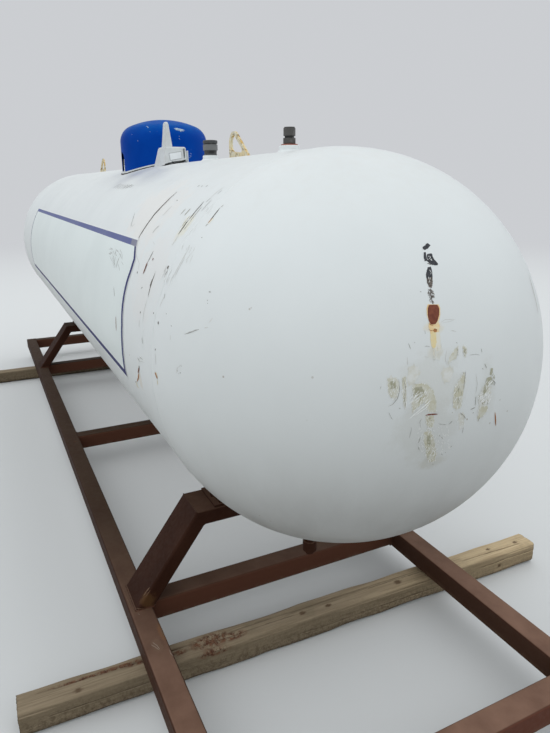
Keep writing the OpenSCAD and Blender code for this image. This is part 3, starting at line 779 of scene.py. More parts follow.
def on_tank(x, angle, lift=0.0):
    """Point on the tank at a station and an angle from the top towards -Y, in degrees."""
    a = math.radians(angle)
    return Vector((x, -(TANK_R + lift) * math.sin(a), AXIS_Z + (TANK_R + lift) * math.cos(a)))


def rectangle(axis, level, a, b, c, d):
    """Closed rectangle at a level of one axis, from a to b and from c to d along the other two."""
    corners = [(a, c), (b, c), (b, d), (a, d), (a, c)]
    return [(*corner[:axis], level, *corner[axis:]) for corner in corners]


def circle_x(x, radius):
    return [(x, radius * math.sin(t), AXIS_Z + radius * math.cos(t)) for t in turns(240)]


def round_on_tank(x, radius):
    """Circle seen from above, laid on the top of the tank."""
    spots = [(radius * math.cos(t), radius * math.sin(t)) for t in turns(120)]
    return [(x + dx, y, AXIS_Z + math.sqrt(TANK_R ** 2 - y ** 2)) for dx, y in spots]


weld("seam_welds", [circle_x(s * SEAM_X, TANK_R - 0.0022) for s in (-1, 1)], 0.0034, tank_white,
     6, 0.01)
frame_welds, knee_welds = [], []
for name in ("front_end_cross", "front_saddle_cross", "middle_cross", "rear_saddle_cross", "rear_end_cross"):
    a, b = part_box(name)
    for y in (a.y, b.y):
        frame_welds.append(rectangle(1, y, a.x, b.x, a.z + 0.002, b.z - 0.002))
a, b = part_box("front_beam")
knee = abs(a.y)
beam_top, leg_t = b.z, b.z - a.z
foot = abs(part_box("front_left_leg")[0].y)
leg_angle = math.atan2(beam_top - RAIL_TOP, foot - knee)
inner_knee = knee - leg_t * math.tan(leg_angle / 2)
for name in ("front_left_leg", "front_right_leg", "rear_left_leg", "rear_right_leg"):
    a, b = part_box(name)
    side = -1 if a.y < 0 else 1
    width = leg_t / math.sin(leg_angle)
    ends = sorted((side * foot, side * (foot - width)))
    frame_welds.append(rectangle(2, RAIL_TOP, a.x + 0.002, b.x - 0.002, *ends))
    corners = [(a.x, knee, beam_top), (b.x, knee, beam_top), (b.x, inner_knee, beam_top - leg_t),
               (a.x, inner_knee, beam_top - leg_t)]
    middle = Vector(((a.x + b.x) / 2, side * (knee + inner_knee) / 2, beam_top - leg_t / 2))
    path = [Vector((x, side * y, z)) for x, y, z in corners]
    path = [point + (middle - point).normalized() * 0.004 for point in path]
    knee_welds.append(path + path[:1])
for end in (-1, 1):
    for y in (-RAIL_Y, RAIL_Y):
        half = TUBE / 2 - 0.002
        frame_welds.append(rectangle(0, end * (SKID_X - 0.005), y - half, y + half,
                                     RAIL_BOTTOM + 0.002, RAIL_TOP - 0.002))
weld("skid_welds", frame_welds, 0.0036, skid_brown)
weld("knee_welds", knee_welds, 0.0024, skid_brown, 6)

PAD_R = TANK_R + 0.008
saddle_welds = []
for end in ("front", "rear"):
    a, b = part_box(end + "_web")
    middle = (a.x + b.x) / 2
    for x in (middle - 0.005, middle + 0.005):
        saddle_welds.append([(x, y, a.z + 0.008) for y in (a.y + 0.01, b.y - 0.01)])
        reach = b.y - 0.01
        arc = [reach * (k / 12 - 1) for k in range(25)]
        saddle_welds.append([(x, y, AXIS_Z - math.sqrt(PAD_R ** 2 - y ** 2)) for y in arc])
weld("saddle_welds", saddle_welds, 0.004, skid_brown)
pad_welds = []
for end in ("front", "rear"):
    a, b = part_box(end + "_pad")
    turn_by = math.degrees(math.asin(b.y / PAD_R))
    arc = [180 - turn_by + 2 * turn_by * k / 40 for k in range(41)]
    path = [on_tank(a.x, t) for t in arc] + [on_tank(b.x, t) for t in arc[::-1]]
    pad_welds.append(path + path[:1])
weld("pad_welds", pad_welds, 0.0042, tank_white)
lug_welds = []
for name in ("front_lug", "rear_lug"):
    a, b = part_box(name)
    z = AXIS_Z + math.sqrt(TANK_R ** 2 - a.y ** 2)
    lug_welds.append(rectangle(2, z, a.x, b.x, a.y, b.y))
weld("lug_welds", lug_welds, 0.004, lug_yellow)
a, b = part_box("dome_collar")
collar_x, collar_r = (a.x + b.x) / 2, (b.x - a.x) / 2
# Painted shadow: a dark bead round the foot of the dome's collar stands for the shade under the cover's rim
collar_shadow = plain_look("collar_shadow", (0.026, 0.018, 0.016), (0.09, 0.064, 0.052), 0.8, 40)
weld("collar_shadow_bead", [round_on_tank(collar_x, collar_r + 0.001)], 0.004, collar_shadow, 6)
a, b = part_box("front_coupling")
rim_x, rim_z = (a.x + b.x) / 2, b.z
rim = [(rim_x + 0.0225 * math.cos(t), 0.0225 * math.sin(t), rim_z + 0.0006) for t in turns(48)]
rim_red = plain_look("rim_red", (0.25, 0.06, 0.035), (0.36, 0.14, 0.085), 0.6, 60)
weld("coupling_ring", [rim], 0.003, rim_red, 8, 0.004)

# Looks of the marks
ink = plain_look("mark_ink", (0.022, 0.023, 0.03), (0.06, 0.062, 0.072), 0.6, 300)
ink_worn = plain_look("mark_ink_worn", (0.06, 0.048, 0.042), (0.2, 0.165, 0.14), 0.65, 420)
rust_dark = plain_look("mark_rust", (0.15, 0.034, 0.016), (0.225, 0.062, 0.028), 0.75, 90)
rust_orange = plain_look("mark_orange", (0.42, 0.185, 0.06), (0.3, 0.115, 0.04), 0.7, 120)
scuff = plain_look("mark_scuff", (0.57, 0.55, 0.43), (0.665, 0.665, 0.605), 0.6, 70)
scuff_soft = plain_look("mark_scuff_soft", (0.665, 0.66, 0.6), (0.735, 0.745, 0.73), 0.55, 60)
scuff_dark = plain_look("mark_scuff_dark", (0.365, 0.355, 0.255), (0.475, 0.465, 0.375), 0.6, 130)
fleck_white = plain_look("mark_fleck", (0.9, 0.91, 0.9), (0.83, 0.84, 0.83), 0.5, 60)
scratch_dark = plain_look("mark_scratch_dark", (0.045, 0.032, 0.024), (0.12, 0.092, 0.066), 0.6, 140)
scratch_grey = plain_look("mark_scratch_grey", (0.33, 0.33, 0.32), (0.48, 0.48, 0.47), 0.6, 150)
scratch_faint = plain_look("mark_scratch_faint", (0.56, 0.555, 0.535), (0.66, 0.66, 0.645), 0.6, 120)
gold = plain_look("mark_gold", (0.66, 0.56, 0.33), (0.72, 0.67, 0.52), 0.6, 120)
halo = plain_look("mark_halo", (0.8, 0.56, 0.27), (0.82, 0.69, 0.45), 0.6, 60)
drip = plain_look("mark_drip", (0.79, 0.64, 0.33), (0.78, 0.7, 0.48), 0.6, 60)
drip_pale = plain_look("mark_drip_pale", (0.76, 0.72, 0.61), (0.745, 0.735, 0.68), 0.6, 60)
pale_blue = plain_look("mark_pale_blue", (0.48, 0.56, 0.6), (0.26, 0.38, 0.54), 0.5, 160)
pale_brown = plain_look("mark_pale_brown", (0.26, 0.195, 0.15), (0.2, 0.13, 0.095), 0.7, 160)

# Marks of the near head, read off the photograph enlarged from its pixel (380, 290)
NEAR = (380, 290, 7.2)
SCUFFS = [(52, 640, 75, 628, 105, 632, 132, 650, 138, 690, 135, 735, 120, 770, 100, 785, 80, 775, 62, 740),
    (160, 632, 185, 625, 190, 680, 185, 740, 188, 800, 182, 855, 172, 830, 165, 760), (240, 680, 300, 670,
    345, 685, 380, 720, 395, 770, 405, 830, 400, 880, 352, 878, 335, 846, 318, 806, 290, 830, 250, 862, 234,
    880, 230, 820, 240, 760, 232, 710), (540, 690, 575, 640, 608, 592, 612, 650, 600, 720, 590, 790, 580,
    850, 545, 858, 526, 846, 525, 800, 530, 740), (560, 407, 563, 450, 548, 490, 515, 510, 487, 525, 500,
    490, 520, 450, 545, 420), (592, 405, 620, 410, 625, 440, 612, 485, 605, 470, 598, 430), (715, 842, 775,
    832, 775, 860, 745, 900, 706, 938, 700, 918, 708, 880), (332, 908, 384, 904, 390, 950, 378, 985, 345,
    990, 334, 950), (320, 1022, 368, 1012, 385, 1060, 395, 1120, 405, 1180, 392, 1232, 352, 1240, 332, 1190,
    326, 1130, 315, 1080)]
SOFT = [(205, 560, 240, 540, 275, 560, 290, 600, 262, 640, 236, 680, 212, 690, 196, 650, 200, 600), (450,
    572, 490, 556, 522, 560, 524, 600, 502, 658, 462, 668, 444, 620), (375, 402, 438, 400, 445, 440, 424,
    470, 392, 452), (380, 470, 430, 468, 428, 500, 386, 502), (565, 880, 605, 900, 600, 990, 575, 1005, 566,
    940), (740, 700, 800, 690, 790, 780, 760, 840, 720, 846, 706, 790)]

decal("head_soft", patches(NEAR, 4.0, *SOFT) + fringe(NEAR, SOFT, 12, 100, 36, 3.2) + fringe(NEAR, SCUFFS,
    9, 100, 34, 3.4), head_at, scuff_soft, 0.22)
decal("head_scuffs", patches(NEAR, 3.5, *SCUFFS), head_at, scuff, 0.34)
decal("head_scuffs_dark", patches(NEAR, 2.5, (770, 632, 800, 622, 806, 640, 795, 664, 780, 702, 755, 745,
    741, 740, 750, 690), (797, 562, 812, 562, 810, 592, 800, 616, 788, 606, 794, 584), (600, 420, 620, 425,
    618, 452, 610, 478, 604, 452), (255, 700, 300, 695, 318, 730, 300, 770, 262, 776, 246, 740), (70, 660,
    110, 652, 116, 700, 84, 714), (335, 1050, 360, 1044, 366, 1110, 340, 1120)) + fields(NEAR, (285, 740,
    50, 70, 24, 105, 34, 2.0, 25), (95, 700, 34, 60, 14, 95, 26, 1.8, 25), (560, 760, 28, 80, 16, 102, 40,
    1.8, 14), (748, 770, 40, 60, 24, 60, 34, 2.0, 60), (360, 1120, 32, 100, 22, 80, 30, 2.0, 30), (358, 945,
    26, 40, 14, 70, 18, 1.8, 50), (812, 640, 16, 50, 14, 110, 26, 2.2, 25)), head_at, scuff_dark, 0.46)
decal("head_flecks", fringe(NEAR, SCUFFS, 22, 100, 26, 2.0, 40) + fields(NEAR, (290, 790, 70, 70, 40, 125,
    46, 2.6, 12), (100, 700, 36, 64, 18, 95, 26, 2.2, 25), (175, 740, 14, 90, 12, 92, 30, 1.8, 12), (360,
    1100, 60, 130, 70, 85, 24, 2.2, 55), (450, 1080, 60, 110, 34, 60, 26, 2.2, 50), (290, 1080, 26, 90, 22,
    110, 24, 2.0, 40), (358, 945, 34, 40, 22, 60, 18, 2.2, 50), (560, 760, 26, 90, 22, 105, 30, 2.0, 18),
    (752, 775, 46, 46, 46, 130, 44, 2.8, 16), (775, 690, 20, 60, 12, 112, 30, 2.2, 12), (612, 440, 12, 36,
    8, 85, 18, 1.8, 25), (585, 950, 26, 60, 14, 85, 26, 2.0, 25)) + lines(NEAR, (4.0, 205, 932, 262, 882,
    310, 842, 372, 790), (3.2, 250, 905, 305, 866, 350, 836), (3.0, 775, 700, 790, 672, 822, 645), (2.6,
    186, 770, 190, 820, 180, 870)), head_at, fleck_white, 0.6)
decal("head_halo", patches(NEAR, 1.8, (343, 103, 421, 103, 433, 130, 433, 185, 420, 228, 431, 262, 424, 296,
    430, 330, 400, 322, 366, 330, 358, 292, 348, 262, 353, 232, 336, 182, 335, 130)), head_at, halo, 0.3)
decal("head_drip", patches(NEAR, 2.5, (366, 300, 404, 306, 405, 360, 402, 408, 386, 422, 368, 404, 362,
    350)) + fields(NEAR, (386, 360, 22, 64, 16, 90, 44, 2.6, 6)), head_at, drip, 0.4)
decal("head_drip_pale", patches(NEAR, 2.5, (402, 305, 431, 300, 436, 380, 438, 432, 415, 440, 392, 424, 402,
    400)) + fields(NEAR, (405, 440, 26, 44, 14, 88, 36, 2.6, 12)), head_at, drip_pale, 0.32)
decal("head_rust", patches(NEAR, 1.4, (350, 110, 358, 106, 406, 106, 415, 110, 425, 132, 425, 180, 412, 225,
    400, 244, 382, 249, 365, 247, 351, 225, 342, 180, 343, 132)) + lines(NEAR, (5.0, 324, 903, 350, 897,
    385, 894, 416, 893)), head_at, rust_dark, 0.55)
decal("head_orange", patches(NEAR, 1.2, (380, 290, 393, 276, 411, 284, 408, 300, 391, 305)) + lines(NEAR,
    (4.0, 827, 878, 830, 925, 832, 978), (1.8, 348, 282, 364, 292, 382, 292), (2.0, 352, 240, 366, 252, 384,
    256)), head_at, rust_orange, 0.58)
decal("head_scratches", lines(NEAR, (1.8, 135, 640, 141, 720, 126, 780, 92, 822, 60, 838), (1.6, 168, 640,
    182, 700, 176, 780, 184, 855), (1.8, 204, 382, 210, 400, 220, 425), (1.4, 244, 374, 253, 380), (1.4,
    322, 290, 325, 318), (1.8, 548, 376, 556, 384), (1.8, 752, 530, 760, 548, 768, 562), (2.2, 650, 862,
    685, 843), (2.0, 574, 880, 596, 900, 620, 928), (1.8, 704, 944, 716, 918), (2.2, 806, 640, 828, 668,
    818, 690), (1.8, 135, 848, 148, 856), (1.6, 666, 888, 674, 880), (1.4, 548, 410, 560, 440, 552, 480),
    (1.6, 616, 580, 608, 650, 600, 716), (1.6, 690, 760, 686, 800, 684, 836), (1.6, 276, 1130, 282, 1156),
    (1.8, 290, 1058, 276, 1102), (1.4, 374, 1252, 384, 1256), (1.8, 735, 560, 742, 572), (1.4, 520, 942,
    500, 962, 490, 966), (1.4, 466, 1166, 474, 1172)), head_at, plain_look("mark_dusk", (0.235, 0.225,
    0.195), (0.38, 0.37, 0.335), 0.6, 150), 0.62)
decal("head_grey", lines(NEAR, (1.8, 228, 984, 222, 1020, 210, 1068), (1.6, 300, 925, 286, 950, 292, 990),
    (1.8, 320, 406, 340, 404, 362, 410), (2.0, 420, 962, 450, 970, 480, 968), (1.8, 420, 1040, 440, 1060,
    462, 1074), (1.6, 62, 880, 80, 920, 92, 934), (1.6, 600, 985, 592, 1030), (1.8, 436, 1176, 452, 1190),
    (1.6, 500, 1136, 520, 1120), (1.8, 728, 420, 734, 452), (1.6, 8, 690, 0, 716), (1.6, 640, 470, 690, 462,
    720, 470)), head_at, scratch_grey, 0.34)
decal("head_faint", lines(NEAR, (1.6, 434, 236, 470, 212, 540, 212), (1.4, 450, 236, 500, 228, 540, 213),
    (2.4, 196, 480, 198, 540), (2.4, 320, 480, 350, 484), (2.6, 510, 290, 550, 300), (2.0, 690, 600, 700,
    680, 690, 740), (2.0, 480, 430, 470, 500, 480, 540)), head_at, scratch_faint, 0.3)
decal("head_seam", [stroke([(528.7, 274.8), (533.2, 291.0), (536.2, 303.0), (538.1, 314.4)], 0.3, 0.1)],
    head_at, scratch_faint, 0.3, 1.5)

# Worn ink above them, enlarged from pixel (375, 230)
HEAD = (375, 230, 6.122)
decal("head_ink", patches(HEAD, 3.0, (292, 104, 305, 96, 312, 84, 324, 80, 338, 94, 326, 95, 318, 100, 320,
    116, 305, 123, 292, 118), (299, 138, 310, 136, 314, 160, 318, 188, 304, 192, 297, 168), (318, 148, 346,
    143, 354, 165, 364, 182, 386, 205, 382, 217, 352, 214, 330, 203, 318, 190), (322, 228, 342, 224, 350,
    258, 352, 290, 338, 312, 316, 300, 311, 272, 318, 244)), head_at, ink, 0.35)
decal("head_ink_worn", patches(HEAD, 4.0, (318, 298, 350, 285, 354, 322, 346, 356, 331, 350, 320, 325)) +
    fields(HEAD, (343, 388, 18, 30, 16, 40, 26, 2.6, 20), (348, 428, 14, 26, 14, 60, 24, 2.6, 24)) +
    lines(HEAD, (2.2, 318, 204, 345, 212), (2.6, 338, 360, 342, 400, 352, 450), (2.2, 327, 362, 352, 380),
    (2.0, 332, 392, 356, 374), (2.0, 275, 376, 284, 380)), head_at, ink_worn, 0.4)
decal("ink_gaps", fields(HEAD, (335, 180, 14, 24, 7, 70, 14, 2.4, 40), (334, 285, 10, 40, 7, 85, 18, 1.8,
    20)), head_at, fleck_white, 0.6)

# Marks of the shell and the near head's left side, enlarged from pixel (110, 180)
SIDE = (110, 180, 6.0)
decal("shell_scratches", lines(SIDE, (2.1, 160, 375, 185, 325, 222, 268, 268, 205, 320, 150, 365, 105, 402,
    72), (1.2, 228, 492, 244, 460, 262, 425), (1.3, 228, 705, 240, 650, 258, 595, 275, 548), (1.9, 240, 640,
    248, 615, 258, 590), (3.4, 344, 534, 348, 524, 353, 514), (1.6, 165, 548, 164, 562), (1.6, 188, 652,
    196, 642), (1.9, 183, 788, 184, 801), (1.7, 262, 794, 262, 805), (2.6, 290, 848, 290, 868), (1.6, 337,
    800, 339, 806), (1.8, 367, 872, 370, 880), (1.8, 272, 1010, 273, 1024), (1.6, 400, 125, 406, 120), (1.5,
    584, 738, 588, 742), (1.6, 420, 1154, 425, 1160), (2.4, 176, 1112, 173, 1150), (1.5, 152, 1214, 160,
    1208), (1.3, 548, 347, 556, 343)), tank_at, scratch_dark, 0.45)
decal("shell_rust", lines(SIDE, (2.3, 200, 566, 213, 530, 228, 490), (2.4, 175, 1125, 171, 1160), (1.6, 262,
    468, 256, 484), (1.5, 37, 816, 38, 860, 40, 906)), tank_at, rust_dark, 1.2)
decal("shell_orange", lines(SIDE, (3.6, 172, 1160, 171, 1186, 163, 1212), (3.0, 270, 1150, 276, 1168, 285,
    1194)), tank_at, rust_orange, 0.5)
decal("shell_gold", lines(SIDE, (2.4, 276, 1150, 286, 1190), (1.8, 158, 1210, 164, 1236, 176, 1250), (1.8,
    284, 1200, 288, 1230)), tank_at, gold, 0.38)
decal("shell_greys", lines(SIDE, (1.4, 332, 570, 346, 546), (1.4, 150, 196, 136, 240, 124, 284), (5.0, 592,
    672, 600, 671, 606, 674), (2.8, 584, 718, 587, 726), (3.0, 446, 926, 480, 916, 512, 902, 536, 896),
    (2.0, 470, 914, 500, 908), (1.3, 192, 944, 196, 984), (1.4, 330, 680, 326, 712), (1.2, 255, 320, 272,
    296, 300, 270), (1.2, 178, 1060, 200, 1080), (1.2, 166, 1066, 182, 1094), (1.2, 402, 1140, 408, 1150),
    (1.2, 426, 1112, 430, 1120), (1.2, 410, 1164, 418, 1158)), tank_at, scratch_grey, 0.4)
decal("shell_faint", lines(SIDE, (1.3, 316, 214, 346, 182, 372, 156), (1.0, 600, 108, 640, 74, 684, 42),
    (1.3, 370, 396, 400, 350, 412, 332), (1.5, 366, 604, 400, 540, 440, 466, 482, 400), (1.5, 384, 590, 416,
    526, 452, 462), (1.4, 300, 760, 316, 720, 336, 682), (2.6, 566, 888, 590, 884), (2.6, 592, 858, 606,
    842, 616, 828), (1.2, 176, 840, 174, 884), (1.2, 224, 712, 204, 790, 196, 860), (1.2, 150, 430, 176,
    500, 170, 540), (1.2, 126, 262, 132, 280, 150, 262), (1.2, 364, 930, 362, 962), (1.3, 190, 1062, 170,
    1080, 206, 1096), (1.2, 272, 1040, 276, 1110), (1.2, 260, 370, 268, 388), (1.4, 430, 1106, 404, 1128,
    398, 1160)) + fields(SIDE, (345, 570, 30, 46, 9, 112, 60, 1.1, 8), (460, 440, 60, 60, 10, 118, 60, 1.0,
    8)), tank_at, scratch_faint, 0.3)
decal("shell_white", fields(SIDE, (470, 290, 50, 60, 14, 125, 60, 1.4, 8), (560, 170, 60, 50, 10, 128, 60,
    1.2, 8), (340, 600, 36, 60, 10, 112, 60, 1.4, 8), (185, 1080, 26, 20, 8, 40, 26, 1.4, 40), (195, 940, 8,
    60, 6, 95, 30, 1.2, 8)), tank_at, fleck_white, 0.34)

# The longest group of scratches, enlarged from pixel (168, 190)
GROUP = (168, 190, 25)
decal("group_cream", lines(GROUP, (20, 330, 970, 380, 870, 450, 760, 530, 650), (14, 1010, 850, 1080, 770,
    1150, 690)), tank_at, plain_look("mark_cream", (0.8, 0.775, 0.65), (0.77, 0.76, 0.69), 0.6, 90), 0.22)
decal("group_olive", lines(GROUP, (5.0, 335, 925, 420, 810, 500, 710, 560, 645), (4.5, 400, 1000, 460, 910,
    530, 820), (8.5, 410, 640, 480, 560, 565, 465), (6.0, 310, 615, 370, 550, 450, 465), (5.0, 525, 835,
    600, 722, 690, 610, 780, 500, 850, 420), (5.5, 1325, 428, 1390, 375), (5.5, 940, 905, 1000, 845)),
    tank_at, plain_look("mark_olive", (0.25, 0.235, 0.19), (0.4, 0.385, 0.33), 0.6, 150), 0.34)
decal("group_dark", lines(GROUP, (8.0, 255, 1120, 330, 1010, 395, 915, 460, 820, 520, 745), (7.5, 505, 765,
    600, 650, 700, 520, 800, 410, 905, 285), (8.5, 1010, 825, 1080, 735, 1150, 642, 1220, 550, 1305, 448),
    (6.0, 230, 262, 242, 260), (7.0, 838, 1186, 852, 1184)), tank_at, scratch_dark, 0.46)
decal("group_rust", lines(GROUP, (8.0, 1000, 836, 1050, 775, 1110, 700)), tank_at, rust_orange, 0.56)
decal("group_faint", lines(GROUP, (4.5, 940, 310, 1000, 260, 1070, 200), (4.5, 830, 540, 930, 420, 1030,
    310, 1100, 240), (3.5, 1230, 110, 1300, 50, 1360, 0)), tank_at, scratch_grey, 0.3)

# Thin scratches near the crest keep their width there, so they are drawn in millimetres of the barrel

def on_barrel(along, around, lift):
    return on_tank(along / 1000, math.degrees(around / 1000 / TANK_R), lift)


def crest_lines(*strokes):
    made = []
    for half, *points in strokes:
        spots = [shell_at(px, py) for px, py in enlarged(SIDE, pairs(points))]
        flat = [(1000 * p.x, 1000 * TANK_R * math.atan2(-p.y, p.z - AXIS_Z)) for p in spots]
        made.append(stroke(flat, half, 0.2))
    return made


decal("crest_greys", crest_lines((1.6, 20, 50, 70, 20), (1.4, 30, 53, 78, 22), (1.5, 42, 56, 90, 24), (1.4,
    54, 56, 100, 24), (1.7, 66, 56, 114, 24), (1.5, 76, 55, 122, 25), (1.6, 88, 54, 134, 26), (1.5, 98, 48,
    140, 26), (1.4, 112, 50, 146, 30), (1.9, 524, 41, 540, 32), (1.8, 546, 41, 558, 34), (1.8, 574, 42, 590,
    31)), on_barrel, scratch_dark, 0.4, 8)

# The far flank and the rear head, which the photograph hides, carry the same sorts of wear more thinly

def rear_at(across, up, lift):
    ray = Vector((-1, across / 520, up / 520)).normalized()
    return Vector((-SEAM_X, 0, AXIS_Z)) + ray * (TANK_R + lift)


# These are drawn in millimetres, without an enlargement
FLAT = (0, 0, 1)


decal("far_scratches", fields(FLAT, (300, -620, 1300, 260, 26, 100, 150, 1.0, 40), (-900, -760, 300, 120,
    12, 95, 90, 1.1, 15)), on_barrel, scratch_grey, 0.4, 12)
decal("far_chips", fields(FLAT, (200, -640, 1400, 300, 14, 80, 16, 2.6, 60)), on_barrel, rust_dark, 0.5, 8)
decal("rear_soft", [ragged(shape, 7.0, 9.0) for shape in ([(-150, -60), (-90, -30), (-70, -90), (-100,
    -170), (-150, -160)], [(-30, -120), (40, -100), (70, -170), (20, -240), (-36, -220)])], rear_at,
    scuff_soft, 0.3, 12)
decal("rear_scuffs", fields(FLAT, (-110, -100, 60, 90, 34, 100, 46, 2.4, 30), (20, -170, 70, 80, 34, 80, 46,
    2.4, 30)), rear_at, scuff, 0.4, 8)
decal("rear_scratches", fields(FLAT, (40, 60, 300, 240, 16, 70, 90, 1.0, 50)), rear_at, scratch_grey, 0.4,
    8)
decal("rear_chips", fields(FLAT, (0, 0, 300, 260, 8, 80, 14, 2.6, 60)), rear_at, rust_dark, 0.5, 8)

# Light scuffs of the dome, enlarged from pixel (116, 118)
TOP = (116, 118, 9.375)
dome_at = skin([NODES["dome_cover"]])
decal("dome_scuffs", lines(TOP, (5.0, 542, 98, 575, 100, 608, 108, 645, 116), (3.6, 552, 108, 590, 114, 638,
    124), (3.0, 598, 118, 612, 130), (2.4, 284, 76, 296, 84, 308, 92), (2.0, 316, 124, 324, 132), (1.8, 146,
    152, 154, 158), (2.0, 588, 168, 598, 174), (2.0, 590, 192, 600, 199), (1.8, 694, 330, 708, 338), (1.8,
    690, 352, 706, 360), (1.8, 684, 368, 698, 374)), dome_at, pale_blue, 0.5, 2.0,
    body=LID)

# Painted shadow: a dark strip along the lower edge of the transmitter's box stands for the shaded gap under
# it
decal("transmitter_shadow_strip", [enlarged(TOP, [(428, 448), (500, 430), (580, 408), (652, 390), (652, 404), (580,
    424), (500, 448), (430, 464)])], skin([NODES["transmitter_box"]]), foot_black, 0.8, 1.2)

# Worn spots of the skid, enlarged from pixel (0, 600)
LOW = (0, 600, 7.091)
decal("rail_scratches", lines(LOW, (3.0, 1072, 318, 1100, 334, 1130, 356), (2.6, 1104, 312, 1122, 336, 1134,
    350), (2.4, 1082, 300, 1108, 322), (2.4, 1200, 352, 1214, 386, 1232, 402), (2.0, 980, 96, 990, 106)),
    rail_at, pale_brown, 0.5)
decal("leg_rust", lines(LOW, (2.6, 1018, -28, 1040, -62, 1064, -92), (1.6, 1030, -20, 1052, -50, 1068, -72),
    (2.4, 962, 58, 1000, 62, 1060, 66), (1.8, 878, -66, 900, -10, 930, 54, 968, 104), (4.0, 1140, 210, 1152,
    236, 1164, 262)), rail_at, plain_look("mark_leg_rust", (0.15, 0.082, 0.042), (0.1, 0.05, 0.025), 0.75,
    90), 0.6)

# Side panel: a thin printed film with a coloured border, its field left plain
PANEL_X = (-1.3, 1.555)
PANEL_ANGLES = (57.5, 102.3)
BORDER = 0.0195
MARGIN = 0.006
PANEL_END = [(136.9, 242.2), (136.2, 247.8), (135.6, 258.9), (132.2, 270.0), (127.8, 283.3), (124.9, 296.7),
             (123.1, 312.2), (122.9, 325.6), (123.1, 343.3), (124.2, 358.9), (126.0, 371.1)]


def film_paint(name, base, worn, rough, scuffed, spec):
    m = Mat(name)
    cloud = m.noise(3.0, 5, 0.6)
    m.color = m.mix(m.step(cloud, 0.35, 0.75), base, worn)
    m.coat(m.step(m.noise(30, 5, 0.7, m.scaled((1.0, 0.12, 0.12))), 0.66, 0.72), (0.5, 0.5, 0.49), scuffed)
    return m.done(rough, Specular_IOR_Level=spec)


film_white = film_paint("film_white", (0.74, 0.795, 0.79), (0.7, 0.755, 0.75), 0.35, 0.25, 0.35)
film_edge = film_paint("film_edge", (0.765, 0.78, 0.775), (0.745, 0.755, 0.75), 0.4, 0.1, 0.3)
film_violet = film_paint("film_violet", (0.016, 0.017, 0.12), (0.026, 0.028, 0.15), 0.5, 0.15, 0.08)
film_faded = film_paint("film_faded", (0.107, 0.126, 0.303), (0.146, 0.168, 0.317), 0.5, 0.35, 0.12)
film_worn = film_paint("film_worn", (0.225, 0.225, 0.3), (0.29, 0.29, 0.345), 0.5, 0.35, 0.12)


def side_panel():
    found = sorted((math.degrees(math.atan2(-spot.y, spot.z - AXIS_Z)), spot.x)
                   for spot in (shell_at(px, py, 0) for px, py in PANEL_END))
    edge, lip = math.degrees(BORDER / TANK_R), math.degrees(MARGIN / TANK_R)
    angles = [PANEL_ANGLES[0] - lip, PANEL_ANGLES[0]]
    angles += list(np.linspace(PANEL_ANGLES[0] + edge, PANEL_ANGLES[1] - edge, 44))
    angles += [PANEL_ANGLES[1], PANEL_ANGLES[1] + lip]
    rows = len(angles)
    ends = np.interp(angles, [a for a, x in found], [x for a, x in found])
    columns = [(0, -MARGIN), (0, 0)] + [(t, BORDER * (1 - 2 * t)) for t in np.linspace(0, 1, 60)]
    columns += [(1, 0), (1, MARGIN * 0.7)]
    verts = []
    for share, shift in columns:
        for angle, end in zip(angles, ends):
            verts.append(on_tank(PANEL_X[0] + (end - PANEL_X[0]) * share + shift, angle, 0.0007))
    faces, kinds = [], []
    for i in range(len(columns) - 1):
        for j in range(rows - 1):
            faces.append((i * rows + j, i * rows + j + 1, (i + 1) * rows + j + 1, (i + 1) * rows + j))
            rim = min(i, len(columns) - 2 - i, j, rows - 2 - j)
            kind = {0: 2, 1: 1}.get(rim, 0)
            if kind == 1 and j == 1:
                kind = 4 if i >= len(columns) - 4 else 3
            kinds.append(kind)
    made = piece("side_panel", verts, faces, film_white)
    for look in (film_violet, film_edge, film_faded, film_worn):
        made.data.materials.append(look)
    for face, kind in zip(made.data.polygons, kinds):
        face.material_index = kind


side_panel()
decal("panel_scuffs", fields(SIDE, (45, 475, 36, 56, 16, 72, 60, 1.1, 12), (20, 430, 30, 20, 10, 30, 26,
    1.4, 30)) + lines(SIDE, (1.2, 60, 460, 44, 500, 40, 530), (1.2, 24, 640, 30, 700)), tank_at,
    scratch_grey, 1.2)

# Bare label plate and a vent slit on the front of the transmitter
sender_at = skin([NODES["transmitter_box"]])


def raised_plate(name, corners, lift, thick, look):
    """Thin plate with bevelled rim on the flat face behind four pixels of the photograph."""
    base = [sender_at(px, py, 0) for px, py in corners]
    normal = (base[2] - base[0]).cross(base[3] - base[1]).normalized()
    if normal.dot(EYE - base[0]) < 0:
        normal = -normal
    middle = sum(base, Vector()) / 4
    rings = [(0.0, 1.0), (lift + thick * 0.6, 1.0), (lift + thick, 0.95), (lift + thick, 0.9)]
    verts = [middle + (spot - middle) * size + normal * rise for rise, size in rings for spot in base]
    faces = [(r + k, r + (k + 1) % 4, r + 4 + (k + 1) % 4, r + 4 + k) for r in (0, 4, 8) for k in range(4)]
    faces.append((12, 13, 14, 15))
    return piece(name, verts, faces, look, smooth=False)


raised_plate("label_edge", [(168.6, 153.0), (181.4, 150.9), (182.1, 158.6), (170.0, 160.9)], 0.0, 0.0007,
             plain_look("label_edge", (0.42, 0.43, 0.44), (0.52, 0.53, 0.54), 0.5))
raised_plate("label_plate", [(169.3, 153.7), (180.7, 151.8), (181.3, 158.0), (170.6, 160.1)], 0.0006, 0.001,
             plain_look("label_plate", (0.8, 0.82, 0.84), (0.76, 0.78, 0.8), 0.35))
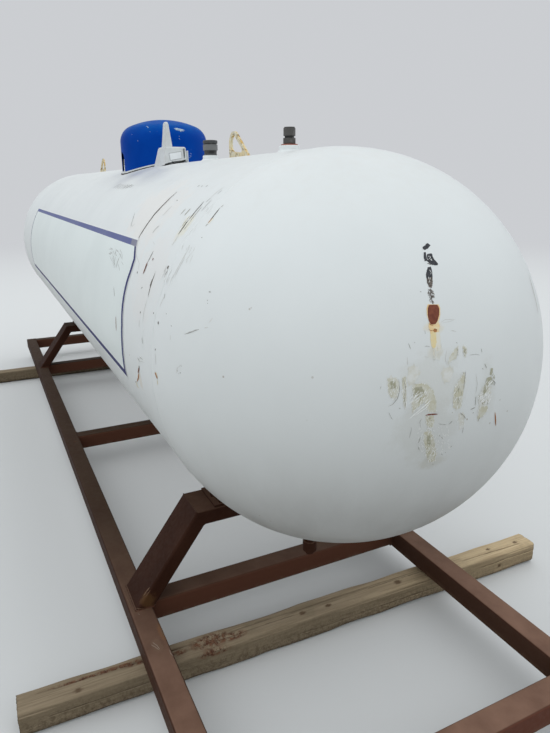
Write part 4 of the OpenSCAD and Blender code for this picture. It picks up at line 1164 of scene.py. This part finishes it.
# Painted shade: the dark plate stands for the shade inside the vent slit
raised_plate("vent_slit", [(183.2, 148.6), (184.5, 148.3), (185.3, 158.0), (184.1, 158.5)], 0.0, 0.0006,
             plain_look("slit_painted_shade", (0.1, 0.11, 0.12), (0.16, 0.17, 0.18), 0.6))
# Floor, sky and light
PALE = (0.6, 0.615, 0.64)
floor = bpy.data.objects.new("floor", bpy.data.meshes.new("floor"))
floor.data.from_pydata([(-60, -60, 0), (60, -60, 0), (60, 60, 0), (-60, 60, 0)], [], [(0, 1, 2, 3)])
scene.collection.objects.link(floor)
ground = Mat("floor")
seen = ground.seen()
away = ground.step(ground.length(ground.coord), 5.0, 15.0)
ground.color = ground.mix(seen, (0.155, 0.145, 0.13), ground.mix(away, (0.63, 0.63, 0.63), (0.0, 0.0, 0.0)))
floor.data.materials.append(ground.done(0.9, Emission_Color=PALE, Emission_Strength=ground.both(seen, away),
                                        Specular_IOR_Level=0.0))

# The light of an overcast sky is strongest overhead, and a little stronger on both flanks than ahead
scene.world = bpy.data.worlds.new("sky")
scene.world.use_nodes = True
sky = Nodes(scene.world.node_tree)
sky.tree.nodes.clear()
facing = sky.node("SeparateXYZ", {0: sky.node("TexCoord").outputs["Generated"]}).outputs
overhead = sky.step(facing["Z"], -0.05, 0.85, 0.8, 1.1)
strength = sky.math("MULTIPLY_ADD", sky.both(facing["Y"], facing["Y"]), 0.62, overhead)
light = sky.node("Background", {"Color": (0.935, 0.98, 1.0), "Strength": strength}).outputs[0]
pale = sky.node("Background", {"Color": PALE, "Strength": 1.0}).outputs[0]
sky.node("OutputWorld", {0: sky.node("MixShader", {0: sky.seen(), 1: light, 2: pale}).outputs[0]})

lamp = bpy.data.lights.new("front_light", "AREA")
lamp.shape = "SQUARE"
lamp.size = 5.0
lamp.energy = 12
front_light = bpy.data.objects.new("front_light", lamp)
scene.collection.objects.link(front_light)
front_light.location = (5.5, -4.5, 6.0)
aim = Vector((1.5, 0, 1.0)) - front_light.location
front_light.rotation_euler = aim.to_track_quat("-Z", "Y").to_euler()
front_light.visible_glossy = False
